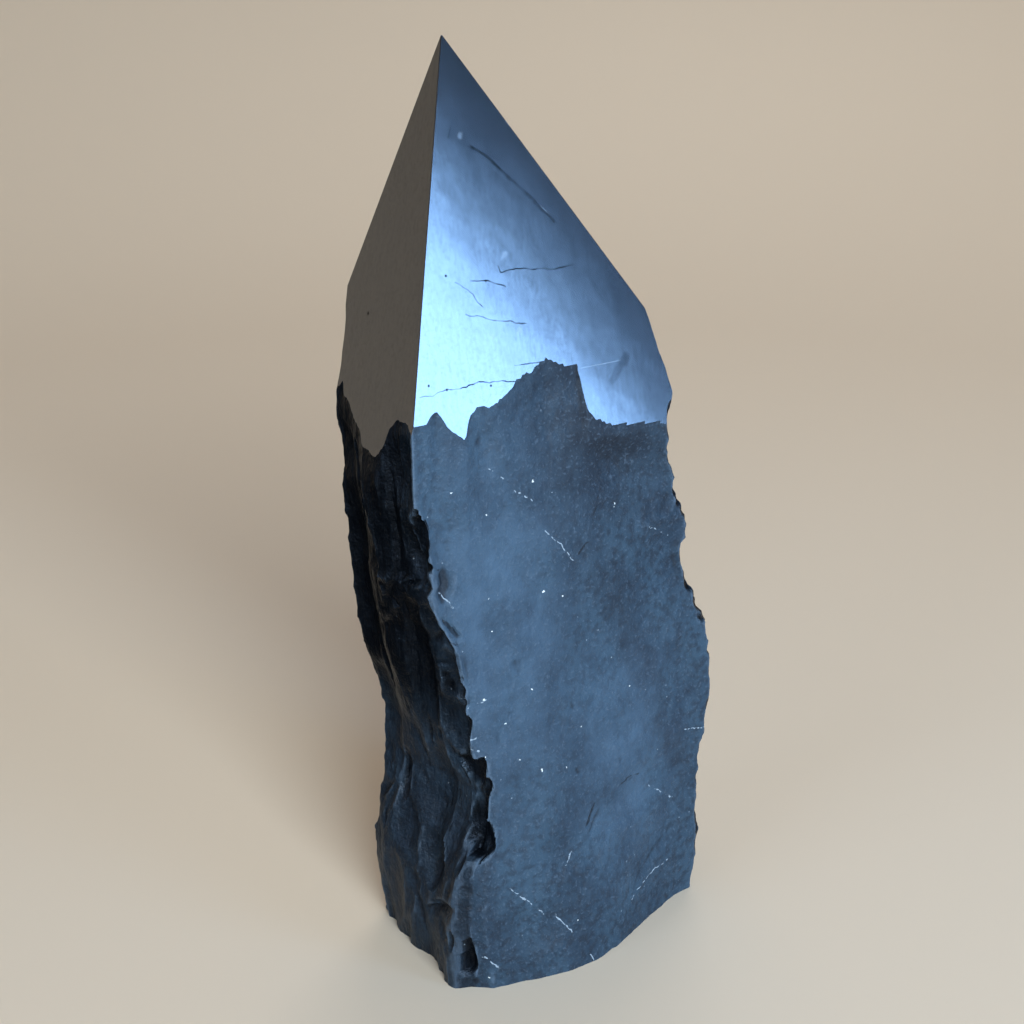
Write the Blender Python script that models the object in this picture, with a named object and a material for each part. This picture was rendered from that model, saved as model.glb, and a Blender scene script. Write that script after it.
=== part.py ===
"""Shungite point: a fractured block of shungite with a ground and polished four-sided tip.

The stone is one solid. Four rough walls run between four broken arrises. Their relief is
that of a conchoidal fracture: swellings, flutes and shallow scars that meet in crisp ribs.
Four flat facets are then ground into the top and meet at the apex, and the foot is sawn flat.
The polish stops where the rough wall falls away below a facet, which gives its ragged edge.

Lengths are in millimetres and become metres when the mesh is made. X runs along the broad
front wall, Y runs from front to back, and Z is up. The origin is under the middle of the
stone's box, on the sawn foot.
"""

import random
from dataclasses import dataclass, field

import bmesh
import bpy
import numpy as np
from mathutils import Vector

MM = 0.001

# Driving dimensions, in millimetres. The lists below are measured from a point on the foot
# that lies at minus BOX_CENTRE from the origin.
HEIGHT = 160.9
APEX_X = -16.0
APEX_Y = 5.3
BOX_CENTRE = (-0.8, 0.07)
ROW_SPACING = 2.4
LOWEST_ROW = -3.0
HIGHEST_RUBBLE_ROW = 128.0
BLOCK_TOP = 166.0
SNAP = 0.12

# How far the wall under a facet takes to come back from the facet's edge to its own run.
SHOULDER_DROP = 13.0
# Relief fades out over this height below the edge of the polish, and beside an arris.
POLISH_MARGIN = 6.0
ARRIS_MARGIN = 3.5

# The arrises of the raw block, each a list of (height, x, y).
FRONT_ARRIS = [
    (-3, -24.4, -15.2), (0, -24.6, -15.0), (12.5, -25.6, -14.2), (22.5, -24.7, -13.5),
    (31, -21.5, -12.9), (37, -20.8, -12.6), (41.5, -22.4, -12.3), (49, -23.5, -11.7),
    (60.5, -24.5, -11.0), (66.5, -25.5, -10.6), (71.5, -28.1, -10.3), (76.5, -30.0, -10.0),
    (78, -29.0, -9.9), (83, -29.7, -9.5), (90, -31.6, -9.0), (105.5, -31.1, -8.1),
    (128, -31.5, -7.0), (166, -32.0, -5.5),
]
RIGHT_ARRIS = [
    (-3, 26.9, -14.9), (0, 27.1, -14.8), (4, 27.5, -14.7), (8, 28.0, -14.5), (12, 28.8, -14.3),
    (19, 27.4, -13.7), (24.5, 27.9, -13.4), (30.5, 29.4, -13.0), (35.5, 30.5, -12.7),
    (39.5, 31.5, -12.4), (46.5, 31.7, -11.9), (52, 30.4, -11.6), (56.5, 30.6, -11.3),
    (60.5, 28.8, -11.0), (67, 25.1, -10.6), (72.5, 24.1, -10.2), (77.5, 25.5, -9.9),
    (83.5, 22.7, -9.6), (88.5, 20.6, -9.5), (93, 20.0, -9.9), (97, 19.6, -10.3),
    (101, 21.1, -9.6), (106, 20.0, -8.8), (112, 18.2, -7.8), (117, 16.5, -7.2),
    (128, 13.4, -6.6), (166, 8.0, -6.0),
]
BACK_ARRIS = [
    (-3, 24.6, 13.6), (0, 24.9, 13.8), (10, 26.4, 14.6), (17, 25.2, 13.6), (27, 26.8, 14.8),
    (36, 29.0, 14.2), (46, 29.6, 15.6), (55, 28.2, 16.4), (62, 25.6, 15.2), (71, 24.2, 15.8),
    (80, 23.4, 14.6), (88, 21.6, 16.2), (97, 20.6, 17.4), (106, 19.2, 16.6), (115, 16.4, 17.6),
    (123, 13.6, 18.6), (128, 12.8, 19.2), (166, 10.0, 24.0),
]
LEFT_ARRIS = [
    (-3, -26.2, 13.2), (0, -26.8, 13.6), (6.5, -27.7, 14.4), (13.5, -28.3, 15.0),
    (18, -28.1, 15.0), (26.5, -26.9, 14.6), (36.5, -25.6, 15.0), (45, -25.7, 15.0),
    (52, -27.1, 15.2), (60.5, -29.5, 15.0), (70.5, -30.7, 15.0), (82, -31.2, 15.4),
    (96.5, -31.2, 16.0), (103.5, -30.9, 16.2), (109, -30.7, 16.5), (113.5, -30.5, 17.5),
    (121.5, -30.2, 18.6), (128, -30.0, 19.8), (166, -29.0, 26.0),
]


@dataclass(frozen=True)
class Swell:
    """A soft lump, or a hollow where its rise is negative."""

    across: float
    height: float
    half_width: float
    half_height: float
    rise: float


@dataclass(frozen=True)
class Scar:
    """The shallow bowl that a flake leaves, longer one way than the other."""

    across: float
    height: float
    half_width: float
    half_height: float
    depth: float
    lean: float = 0.0


@dataclass(frozen=True)
class Ledge:
    """A straight break in the wall, where it steps in and then comes back out.

    The break runs at an angle, in degrees from level. The wall comes back over one distance
    above it and another below it, so a short one makes a step and two long ones a valley.
    """

    across: float
    height: float
    angle: float
    half_length: float
    depth: float
    run_above: float
    run_below: float


@dataclass
class Wall:
    """One rough side of the block, with the facet that is ground into its top."""

    name: str
    outward: tuple
    start: list
    end: list
    columns: int
    facet_lean: float
    polish_edge: list
    swells: list = field(default_factory=list)
    scars: list = field(default_factory=list)
    ledges: list = field(default_factory=list)

    @property
    def axis(self):
        """Index of the coordinate that runs across the wall."""
        return 1 if self.outward[0] else 0

    def reach(self, points):
        """How far points stand out along the wall's outward direction."""
        return points[..., 0] * self.outward[0] + points[..., 1] * self.outward[1]

    def facet_reach(self, height):
        """How far the ground facet stands out at a height."""
        apex_reach = APEX_X * self.outward[0] + APEX_Y * self.outward[1]
        return apex_reach + self.facet_lean * (HEIGHT - height)


FRONT = Wall(
    name="front",
    outward=(0, -1),
    start=FRONT_ARRIS,
    end=RIGHT_ARRIS,
    columns=30,
    facet_lean=0.24,
    polish_edge=[
        (-31, 105.2), (-28.5, 105.3), (-26.5, 107), (-24.5, 103.6), (-21.7, 101.8), (-21, 103.6),
        (-19.5, 105.3), (-15.6, 105.9), (-11.5, 108.2), (-8.8, 109.2), (-4.6, 111.2),
        (-2.3, 110), (1.4, 109.2), (2.2, 102), (3.5, 100.4), (6.8, 98.7), (14.5, 97.5),
        (21, 97.2),
    ],
    swells=[
        Swell(-3.5, -2, 17, 30, 6.4), Swell(-12, 42, 16, 18, 0.8), Swell(9, 93, 6, 6, -0.7),
        Swell(14, 62, 9, 12, -0.7), Swell(2, 75, 9, 14, 0.5), Swell(21, 20, 7, 12, -0.6),
    ],
    scars=[
        Scar(12, 86, 10, 9, 0.7, 0.3), Scar(-16, 92, 9, 8, 0.5), Scar(21, 70, 7, 9, 0.9, -0.3),
        Scar(10, 27, 9, 6, 0.8, 0.4), Scar(-6, 22, 8, 5, 0.6, -0.5), Scar(23, 45, 6, 10, 0.8),
        Scar(-19, 66, 6, 9, 0.6, 0.2), Scar(4, 54, 11, 9, 0.5, -0.4), Scar(-14, 10, 8, 6, 0.7),
        Scar(-17.5, 98, 3.4, 7.5, 0.8), Scar(-26, 84, 4, 8, 0.7, 0.2),
    ],
    ledges=[
        Ledge(-5.2, 99, 90, 14, 1.1, 12, 7), Ledge(9, 91, -35, 9, 0.9, 5, 10),
        Ledge(10.5, 30, 12, 4, 0.7, 1.0, 6), Ledge(0.5, 26, 50, 4, 0.7, 1.0, 6),
        Ledge(19, 56, 65, 12, 0.9, 9, 1.5), Ledge(-12, 76, -55, 15, 0.6, 8, 9),
        Ledge(14, 12, 30, 9, 0.7, 7, 2), Ledge(-16, 34, 80, 12, 0.6, 7, 6),
    ],
)

RIGHT = Wall(
    name="right",
    outward=(1, 0),
    start=RIGHT_ARRIS,
    end=BACK_ARRIS,
    columns=13,
    facet_lean=0.741,
    polish_edge=[
        (-9, 116.5), (-5, 116.4), (-3, 114.5), (-0.5, 112.5), (2, 115.5), (4.5, 117),
        (7, 113.6), (10, 114.8), (13, 119.5), (16, 121), (20, 122.5),
    ],
    swells=[
        Swell(1, 0, 12, 20, 1.6), Swell(4, 48, 10, 18, 1.6), Swell(2, 84, 9, 14, -1.2),
        Swell(4, 104, 9, 9, 1.4),
    ],
    scars=[
        Scar(-6, 88, 4, 14, 1.7), Scar(6, 74, 5, 17, 2.1, 0.1), Scar(-2, 58, 4.5, 11, 1.5, -0.1),
        Scar(9, 42, 5, 13, 1.8), Scar(-5, 30, 5, 12, 1.6, 0.15), Scar(4, 15, 5.5, 11, 1.7),
        Scar(12, 98, 4, 12, 1.5), Scar(0, 102, 4, 8, 1.2, -0.2),
    ],
    ledges=[
        Ledge(2, 92, 20, 9, 1.9, 1.5, 12), Ledge(-3, 68, -30, 8, 1.6, 1.5, 10),
        Ledge(6, 52, 14, 9, 1.8, 1.5, 11), Ledge(0, 36, 80, 14, 1.6, 5, 1.5),
        Ledge(8, 22, -20, 8, 1.7, 1.5, 9), Ledge(7, 84, 84, 16, 1.5, 1.5, 5),
    ],
)

BACK = Wall(
    name="back",
    outward=(0, 1),
    start=BACK_ARRIS,
    end=LEFT_ARRIS,
    columns=26,
    facet_lean=0.346,
    polish_edge=[
        (-30, 121.4), (-26.6, 121.4), (-23, 119.2), (-20, 121.6), (-17, 117.5), (-13.5, 113.8),
        (-11, 116.4), (-8.5, 115.6), (-6.5, 119.8), (-3, 122.4), (0.5, 120.4), (3, 116),
        (6, 117.8), (9, 121), (14, 122.6),
    ],
    swells=[
        Swell(-4, 0, 16, 22, 2.2), Swell(6, 58, 14, 22, 1.8), Swell(-16, 38, 10, 20, 1.2),
        Swell(-14, 84, 10, 16, -1.3), Swell(12, 92, 8, 12, 1.2),
    ],
    scars=[
        Scar(-20, 96, 7, 15, 1.8, 0.2), Scar(-6, 100, 8, 12, 1.5, -0.3), Scar(8, 84, 8, 16, 1.9),
        Scar(-12, 66, 9, 14, 2.0, 0.3), Scar(3, 52, 7, 12, 1.4, -0.2), Scar(17, 60, 7, 15, 1.8),
        Scar(-19, 44, 7, 13, 1.6), Scar(-4, 30, 9, 12, 1.7, 0.4), Scar(13, 28, 8, 13, 1.8, -0.3),
        Scar(-15, 12, 8, 9, 1.5), Scar(5, 9, 8, 8, 1.4), Scar(19, 9, 6, 9, 1.2),
    ],
    ledges=[
        Ledge(-14, 92, 18, 13, 2.0, 1.5, 14), Ledge(10, 74, -24, 13, 2.1, 1.5, 13),
        Ledge(-8, 56, 12, 12, 1.9, 1.5, 12), Ledge(14, 40, 28, 12, 2.0, 1.5, 13),
        Ledge(-12, 27, -16, 12, 1.8, 1.5, 11), Ledge(2, 88, 78, 20, 1.7, 8, 1.5),
        Ledge(-22, 62, 82, 18, 1.6, 6, 1.5), Ledge(6, 16, 8, 13, 1.5, 1.5, 10),
    ],
)

LEFT = Wall(
    name="left",
    outward=(-1, 0),
    start=LEFT_ARRIS,
    end=FRONT_ARRIS,
    columns=16,
    facet_lean=0.265,
    polish_edge=[
        (-8, 105.4), (-3.6, 105.2), (-1.7, 103.4), (-1, 100.2), (0.9, 98.3), (5.6, 98.3),
        (7.2, 100.6), (10, 102.7), (13.8, 105), (14.8, 107.5), (16.6, 108.4),
    ],
    swells=[
        Swell(3, 84, 5, 30, 2.0), Swell(4, 52, 4, 16, 1.6), Swell(-11.5, 2, 5.5, 22, 3.4),
        Swell(1, 0, 10, 16, 2.2), Swell(-12.5, 38, 2.2, 18, 2.4), Swell(9, 22, 5, 14, 1.4),
    ],
    scars=[
        Scar(-5.2, 82, 3.2, 7.5, 1.6, 0.1), Scar(-5.5, 96, 2.6, 8, 1.2), Scar(-1, 90, 2.0, 10, 1.0),
        Scar(-8.5, 70, 3.6, 6, 1.5, 0.4), Scar(-9.5, 60, 3.4, 6.5, 1.8, 0.3),
        Scar(-8.8, 50, 4.6, 8, 2.4, 0.2), Scar(-2, 60, 2.6, 14, 1.5), Scar(11, 74, 4.5, 20, 1.8),
        Scar(11, 46, 4, 12, 1.2), Scar(7, 33, 1.6, 7, 1.4), Scar(-1.5, 34, 4.5, 12, 1.8),
        Scar(-3, 21, 4.0, 7, 2.2, 0.3), Scar(-7.5, 30, 3.0, 12, 1.3), Scar(-8, 11, 3.4, 6, 1.6, 0.6),
        Scar(7, 10, 3.5, 9, 1.3),
    ],
    ledges=[
        Ledge(4.5, 88, 84, 20, 1.5, 1.2, 7), Ledge(-7, 77, -28, 5, 1.4, 1.2, 6),
        Ledge(-7.5, 14.5, -22, 6, 1.9, 1.5, 6), Ledge(-9.6, 34, 86, 17, 1.7, 3.5, 1.2),
        Ledge(-10, 65, -50, 6, 1.3, 1.2, 4), Ledge(3, 46, 82, 16, 1.4, 1.2, 6),
        Ledge(10, 62, 80, 16, 1.3, 5, 1.2),
    ],
)

WALLS = [FRONT, RIGHT, BACK, LEFT]

# Random small flakes on every wall: how many, and the seed that places them.
FLAKE_COUNTS = {"front": 26, "right": 26, "back": 44, "left": 22}
FLAKE_SEED = 11


def add_random_flakes():
    """Give every wall its small scars, longer along the height, as the rock splits."""
    rng = random.Random(FLAKE_SEED)
    for wall in WALLS:
        shallow = 0.35 if wall is FRONT else 1.0
        low = min(point[2 if wall.axis else 1] for point in wall.start + wall.end)
        high = max(point[2 if wall.axis else 1] for point in wall.start + wall.end)
        for _ in range(FLAKE_COUNTS[wall.name]):
            half_width = rng.uniform(2.2, 4.6)
            wall.scars.append(Scar(
                across=rng.uniform(low, high),
                height=rng.uniform(0, 118),
                half_width=half_width,
                half_height=half_width * rng.uniform(1.2, 3.0),
                depth=shallow * rng.uniform(0.5, 1.2),
                lean=rng.uniform(-0.35, 0.35),
            ))


def smooth(value):
    """Ease from 0 to 1 as the value goes from 0 to 1."""
    held = np.clip(value, 0, 1)
    return held * held * (3 - 2 * held)


def arris_at(arris, height):
    """The (x, y) of an arris at each height."""
    heights, xs, ys = np.array(arris, dtype=float).T
    return np.stack([np.interp(height, heights, xs), np.interp(height, heights, ys)], axis=-1)


def between(wall, fraction, height):
    """The point that lies a fraction of the way from the wall's first arris to its second."""
    start = arris_at(wall.start, height)
    end = arris_at(wall.end, height)
    return start + (end - start) * fraction[..., None]


def relief(wall, across, height):
    """How far the broken surface stands out from the wall's flat run."""
    rise = np.zeros_like(height)
    for swell in wall.swells:
        aside = (across - swell.across) / swell.half_width
        above = (height - swell.height) / swell.half_height
        rise += swell.rise * np.exp(-aside ** 2 - above ** 2)
    deepest = np.zeros_like(height)
    for scar in wall.scars:
        above = height - scar.height
        aside = (across - scar.across - scar.lean * above) / scar.half_width
        bowl = scar.depth * (1 - aside ** 2 - (above / scar.half_height) ** 2)
        deepest = np.maximum(deepest, bowl)
    for ledge in wall.ledges:
        level, upright = np.cos(np.radians(ledge.angle)), np.sin(np.radians(ledge.angle))
        aside, above = across - ledge.across, height - ledge.height
        along = (aside * level + above * upright) / ledge.half_length
        over = above * level - aside * upright
        run = np.where(over > 0, ledge.run_above, ledge.run_below)
        step = ledge.depth * (1 - np.abs(over) / run) * (1 - along ** 2)
        deepest = np.maximum(deepest, np.where(np.abs(along) < 1, step, 0))
    return rise - deepest


def wall_points(wall, heights):
    """The wall's grid of points, rows from the foot up and columns between its arrises."""
    fractions = np.linspace(0, 1, wall.columns + 1)
    fraction, height = np.meshgrid(fractions, heights)
    flat = between(wall, fraction, height)
    across = flat[..., wall.axis]

    edge_across, edge_heights = np.array(wall.polish_edge, dtype=float).T
    edge = np.interp(across, edge_across, edge_heights)
    below_edge = edge - height
    # Where the polish ends, the raw wall has to lie on the ground facet.
    shortfall = wall.facet_reach(edge) - wall.reach(between(wall, fraction, edge))
    shoulder = shortfall * np.exp(-(np.maximum(below_edge, 0) / SHOULDER_DROP) ** 2)

    width = np.abs(arris_at(wall.end, height) - arris_at(wall.start, height))[..., wall.axis]
    beside_arris = np.minimum(fraction, 1 - fraction) * width
    away_from_arris = smooth(beside_arris / ARRIS_MARGIN)
    broken = relief(wall, across, height) * smooth(below_edge / POLISH_MARGIN)

    push = (shoulder + broken) * away_from_arris
    points = np.zeros(height.shape + (3,))
    points[..., 0] = flat[..., 0] + push * wall.outward[0] - BOX_CENTRE[0]
    points[..., 1] = flat[..., 1] + push * wall.outward[1] - BOX_CENTRE[1]
    points[..., 2] = height
    return points


def raw_block(bm):
    """Loft the four rough walls into one closed block, taller than the finished stone."""
    rows = int(round((HIGHEST_RUBBLE_ROW - LOWEST_ROW) / ROW_SPACING))
    heights = np.append(np.linspace(LOWEST_ROW, HIGHEST_RUBBLE_ROW, rows + 1), BLOCK_TOP)
    # A wall's last column is the next wall's first, so it is left out.
    girdle = np.concatenate([wall_points(wall, heights)[:, :-1] for wall in WALLS], axis=1)
    rings = [[bm.verts.new(point * MM) for point in ring] for ring in girdle]
    around = len(rings[0])
    for lower, upper in zip(rings, rings[1:]):
        for i in range(around):
            j = (i + 1) % around
            bm.faces.new((lower[i], lower[j], upper[j], upper[i]))
    bm.faces.new(list(reversed(rings[0])))
    bm.faces.new(rings[-1])


def grind(bm, point, normal, finish):
    """Take away all that lies beyond a plane, and close the cut with a flat face."""
    everything = bm.verts[:] + bm.edges[:] + bm.faces[:]
    cut = bmesh.ops.bisect_plane(
        bm, geom=everything, dist=SNAP * MM, use_snap_center=True,
        plane_co=point, plane_no=normal, clear_outer=True,
    )
    rim = [item for item in cut["geom_cut"] if isinstance(item, bmesh.types.BMEdge)]
    open_rim = [edge for edge in rim if len(edge.link_faces) == 1]
    filled = bmesh.ops.triangle_fill(bm, edges=open_rim, use_beauty=True, normal=normal)
    for item in filled["geom"]:
        if isinstance(item, bmesh.types.BMFace):
            item.material_index = finish


def make_material(name, colour, roughness, specular):
    """A Principled material for one finish of the stone."""
    material = bpy.data.materials.new(name)
    material.use_nodes = True
    shader = material.node_tree.nodes["Principled BSDF"]
    shader.inputs["Base Color"].default_value = (*colour, 1)
    shader.inputs["Roughness"].default_value = roughness
    shader.inputs["Metallic"].default_value = 0.0
    shader.inputs["Specular IOR Level"].default_value = specular
    return material


def build_stone():
    """Make the whole stone as one closed mesh."""
    add_random_flakes()
    bm = bmesh.new()
    raw_block(bm)
    apex = Vector((APEX_X - BOX_CENTRE[0], APEX_Y - BOX_CENTRE[1], HEIGHT)) * MM
    for wall in WALLS:
        normal = Vector((wall.outward[0], wall.outward[1], wall.facet_lean)).normalized()
        grind(bm, apex, normal, finish=1)
    grind(bm, Vector((0, 0, 0)), Vector((0, 0, -1)), finish=0)
    bmesh.ops.remove_doubles(bm, verts=bm.verts[:], dist=SNAP * MM)
    bmesh.ops.dissolve_degenerate(bm, edges=bm.edges[:], dist=SNAP * MM)
    bmesh.ops.triangulate(bm, faces=bm.faces[:])
    bmesh.ops.recalc_face_normals(bm, faces=bm.faces[:])

    mesh = bpy.data.meshes.new("shungite_rock")
    bm.to_mesh(mesh)
    bm.free()
    mesh.materials.append(make_material("rough shungite", (0.012, 0.014, 0.018), 0.62, 0.5))
    mesh.materials.append(make_material("polished shungite", (0.010, 0.011, 0.014), 0.16, 0.8))
    stone = bpy.data.objects.new("shungite_rock", mesh)
    bpy.context.scene.collection.objects.link(stone)
    return stone


for old in list(bpy.data.objects):
    bpy.data.objects.remove(old, do_unlink=True)
build_stone()
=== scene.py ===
"""The look of a shungite point: a block of black stone, broken below and polished above.

The stone replaces its plain solid. It is lofted on a fine grid from the same arrises, swells,
scars and ledges, gets its hackle and grain from Geometry Nodes, and is then ground by the same
four facets and sawn foot. Sizes inside the stone's classes are in millimetres. Meshes, lights
and the camera are in metres, in the frame of the solid.
"""

import logging
import math
import random
from dataclasses import dataclass, field
from enum import Enum
from typing import Any

import bmesh
import bpy
import numpy as np
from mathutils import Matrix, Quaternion, Vector


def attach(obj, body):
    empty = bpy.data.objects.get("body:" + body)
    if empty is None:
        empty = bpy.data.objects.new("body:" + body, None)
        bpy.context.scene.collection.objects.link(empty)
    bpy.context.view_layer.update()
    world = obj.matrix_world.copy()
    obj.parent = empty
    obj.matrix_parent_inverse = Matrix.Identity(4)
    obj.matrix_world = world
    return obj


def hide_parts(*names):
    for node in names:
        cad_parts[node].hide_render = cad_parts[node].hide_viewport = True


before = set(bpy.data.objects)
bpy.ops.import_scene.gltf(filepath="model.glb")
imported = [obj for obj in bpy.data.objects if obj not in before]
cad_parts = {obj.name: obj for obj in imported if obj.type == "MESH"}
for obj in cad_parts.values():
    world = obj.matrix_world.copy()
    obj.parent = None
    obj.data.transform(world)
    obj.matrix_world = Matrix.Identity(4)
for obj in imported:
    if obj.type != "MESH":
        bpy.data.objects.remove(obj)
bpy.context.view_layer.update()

LOG = logging.getLogger("shungite_point")
MM = 0.001
NODE = "shungite_rock"
BODY = "root"

Colour = tuple[float, float, float, float]
Pair = tuple[float, float]
Place = tuple[float, float, float]
Profile = list[Place]

# The block's main sizes, in millimetres. The lists below are measured from a point on the foot
# that lies at minus BOX_CENTRE from the origin.
HEIGHT = 160.9
APEX_X = -16.0
APEX_Y = 5.3
BOX_CENTRE = (-0.8, 0.07)
FAR_AWAY = 1000.0
# Middle of the polished part, which the lights are aimed at, in metres.
LIT_MIDDLE = Vector((-0.009, 0.0, 0.115))
# Nearly all of a noise lies between these two values.
NOISE_RANGE = (0.25, 0.75)


class Finish(Enum):
    """The two finishes of the stone, as material slots of its mesh."""

    BROKEN = 0
    POLISHED = 1


class Layer(Enum):
    """What the block's mesh carries to its material, as names of attributes."""

    BROKEN_MASK = "broken"
    CREST = "crest"
    # Where the old face is high, the stone is coloured as a lit slate face. Where it is low, it is
    # coloured as a black break in shade. This is partly painted light and shade.
    OLD_FACE_AND_LIGHT = "old_face"


def linear(code: str) -> Colour:
    """Turn an sRGB hex colour into linear values.

    Args:
        code: Six hex digits with a leading hash.

    Returns:
        Red, green, blue and an alpha of 1.
    """
    def channel(start: int) -> float:
        """One channel, from two hex digits."""
        value = int(code[start:start + 2], 16) / 255
        return value / 12.92 if value <= 0.04045 else ((value + 0.055) / 1.055) ** 2.4

    return channel(1), channel(3), channel(5), 1.0


def add_node(tree: bpy.types.NodeTree, kind: str, settings: dict[str, Any] | None = None,
             inputs: dict[Any, Any] | None = None) -> bpy.types.Node:
    """Add one node with its settings and links.

    Args:
        tree: The tree that gets the node.
        kind: Blender's name for the node's type.
        settings: Values of the node's own properties, by name.
        inputs: A value, or an output socket to link, for each input by name or number.

    Returns:
        The new node.
    """
    node = tree.nodes.new(kind)
    for name, value in (settings or {}).items():
        setattr(node, name, value)
    for key, value in (inputs or {}).items():
        if isinstance(value, bpy.types.NodeSocket):
            tree.links.new(value, node.inputs[key])
        else:
            node.inputs[key].default_value = value
    return node


@dataclass(frozen=True)
class Swell:
    """A soft lump of the wall, or a hollow where its rise is negative."""

    across: float
    height: float
    half_width: float
    half_height: float
    rise: float


@dataclass(frozen=True)
class Scar:
    """The shallow bowl that a flake leaves, longer one way than the other."""

    across: float
    height: float
    half_width: float
    half_height: float
    depth: float
    lean: float = 0.0


@dataclass(frozen=True)
class Ledge:
    """A straight break, where the wall steps in and then comes back out.

    The angle is in degrees from level. The wall comes back over one distance above the break
    and another below it.
    """

    across: float
    height: float
    angle: float
    half_length: float
    depth: float
    run_above: float
    run_below: float


@dataclass
class Wall:
    """One broken side of the block, with the facet that is ground into its top.

    The scars and ledges given here are the ones placed one by one. FractureScars adds the others.
    """

    name: str
    outward: tuple[int, int]
    start: Profile
    end: Profile
    columns: int
    facet_lean: float
    polish_edge: list[Pair]
    # How jagged the edge of the polish is, by place across the wall.
    jagged: list[Pair] = field(default_factory=lambda: [(0.0, 1.0)])
    swells: list[Swell] = field(default_factory=list)
    scars: list[Scar] = field(default_factory=list)
    ledges: list[Ledge] = field(default_factory=list)

    @property
    def axis(self) -> int:
        """Index of the coordinate that runs across the wall."""
        return 1 if self.outward[0] else 0

    @property
    def limits(self) -> Pair:
        """Lowest and highest place across the wall that its arrises reach."""
        places = [point[2 if self.axis else 1] for point in self.start + self.end]
        return min(places), max(places)

    def reach(self, points: np.ndarray) -> np.ndarray:
        """How far points stand out along the wall's outward direction."""
        return points[..., 0] * self.outward[0] + points[..., 1] * self.outward[1]

    def facet_reach(self, height: np.ndarray) -> np.ndarray:
        """How far the ground facet stands out at a height."""
        return self.reach(np.array([APEX_X, APEX_Y])) + self.facet_lean * (HEIGHT - height)

    def between(self, fraction: np.ndarray, height: np.ndarray) -> np.ndarray:
        """Points on the flat run between the wall's two arrises.

        Args:
            fraction: How far along from the first arris to the second.
            height: Height of each point.

        Returns:
            The x and y of each point.
        """
        start = arris_at(self.start, height)
        return start + (arris_at(self.end, height) - start) * fraction[..., None]

    def relief(self, across: np.ndarray, height: np.ndarray) -> np.ndarray:
        """How far the broken surface stands out from the flat run.

        Args:
            across: Place of each point across the wall.
            height: Height of each point.

        Returns:
            Millimetres outward, below zero where the wall is hollow.
        """
        rise = np.zeros_like(height)
        for swell in self.swells:
            aside = (across - swell.across) / swell.half_width
            above = (height - swell.height) / swell.half_height
            rise += swell.rise * np.exp(-aside ** 2 - above ** 2)
        deepest = np.zeros_like(height)
        for scar in self.scars:
            above = height - scar.height
            aside = (across - scar.across - scar.lean * above) / scar.half_width
            bowl = scar.depth * (1 - aside ** 2 - (above / scar.half_height) ** 2)
            deepest = np.maximum(deepest, bowl)
        for ledge in self.ledges:
            turn = math.radians(ledge.angle)
            aside, above = across - ledge.across, height - ledge.height
            along = (aside * math.cos(turn) + above * math.sin(turn)) / ledge.half_length
            over = above * math.cos(turn) - aside * math.sin(turn)
            run = np.where(over > 0, ledge.run_above, ledge.run_below)
            step = ledge.depth * (1 - np.abs(over) / run) * (1 - along ** 2)
            deepest = np.maximum(deepest, np.where(np.abs(along) < 1, step, 0))
        return rise - deepest


def arris_at(arris: Profile, height: np.ndarray) -> np.ndarray:
    """The x and y of an arris at each height."""
    heights, xs, ys = np.array(arris, dtype=float).T
    return np.stack([np.interp(height, heights, xs), np.interp(height, heights, ys)], axis=-1)


def smooth(value: np.ndarray) -> np.ndarray:
    """Ease from 0 to 1 as the value goes from 0 to 1."""
    held = np.clip(value, 0, 1)
    return held * held * (3 - 2 * held)


# The arrises of the raw block, each a list of (height, x, y).
FRONT_ARRIS = [
    (-3, -24.4, -15.2), (0, -24.6, -15.0), (12.5, -25.6, -14.2), (22.5, -24.7, -13.5),
    (31, -21.5, -12.9), (37, -20.8, -12.6), (41.5, -22.4, -12.3), (49, -23.5, -11.7),
    (60.5, -24.5, -11.0), (66.5, -25.5, -10.6), (71.5, -28.1, -10.3), (76.5, -30.0, -10.0),
    (78, -29.0, -9.9), (83, -29.7, -9.5), (90, -31.6, -9.0), (105.5, -31.1, -8.1),
    (128, -31.5, -7.0), (166, -32.0, -5.5),
]
RIGHT_ARRIS = [
    (-3, 26.9, -14.9), (0, 27.1, -14.8), (4, 27.5, -14.7), (8, 28.0, -14.5), (12, 28.8, -14.3),
    (19, 27.4, -13.7), (24.5, 27.9, -13.4), (30.5, 29.4, -13.0), (35.5, 30.5, -12.7),
    (39.5, 31.5, -12.4), (46.5, 31.7, -11.9), (52, 30.4, -11.6), (56.5, 30.6, -11.3),
    (60.5, 28.8, -11.0), (67, 25.1, -10.6), (72.5, 24.1, -10.2), (77.5, 25.5, -9.9),
    (83.5, 22.7, -9.6), (88.5, 20.6, -9.5), (93, 20.0, -9.9), (97, 19.6, -10.3),
    (101, 21.1, -9.6), (106, 20.0, -8.8), (112, 18.2, -7.8), (117, 16.5, -7.2),
    (128, 13.4, -6.6), (166, 8.0, -6.0),
]
BACK_ARRIS = [
    (-3, 24.6, 13.6), (0, 24.9, 13.8), (10, 26.4, 14.6), (17, 25.2, 13.6), (27, 26.8, 14.8),
    (36, 29.0, 14.2), (46, 29.6, 15.6), (55, 28.2, 16.4), (62, 25.6, 15.2), (71, 24.2, 15.8),
    (80, 23.4, 14.6), (88, 21.6, 16.2), (97, 20.6, 17.4), (106, 19.2, 16.6), (115, 16.4, 17.6),
    (123, 13.6, 18.6), (128, 12.8, 19.2), (166, 10.0, 24.0),
]
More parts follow.
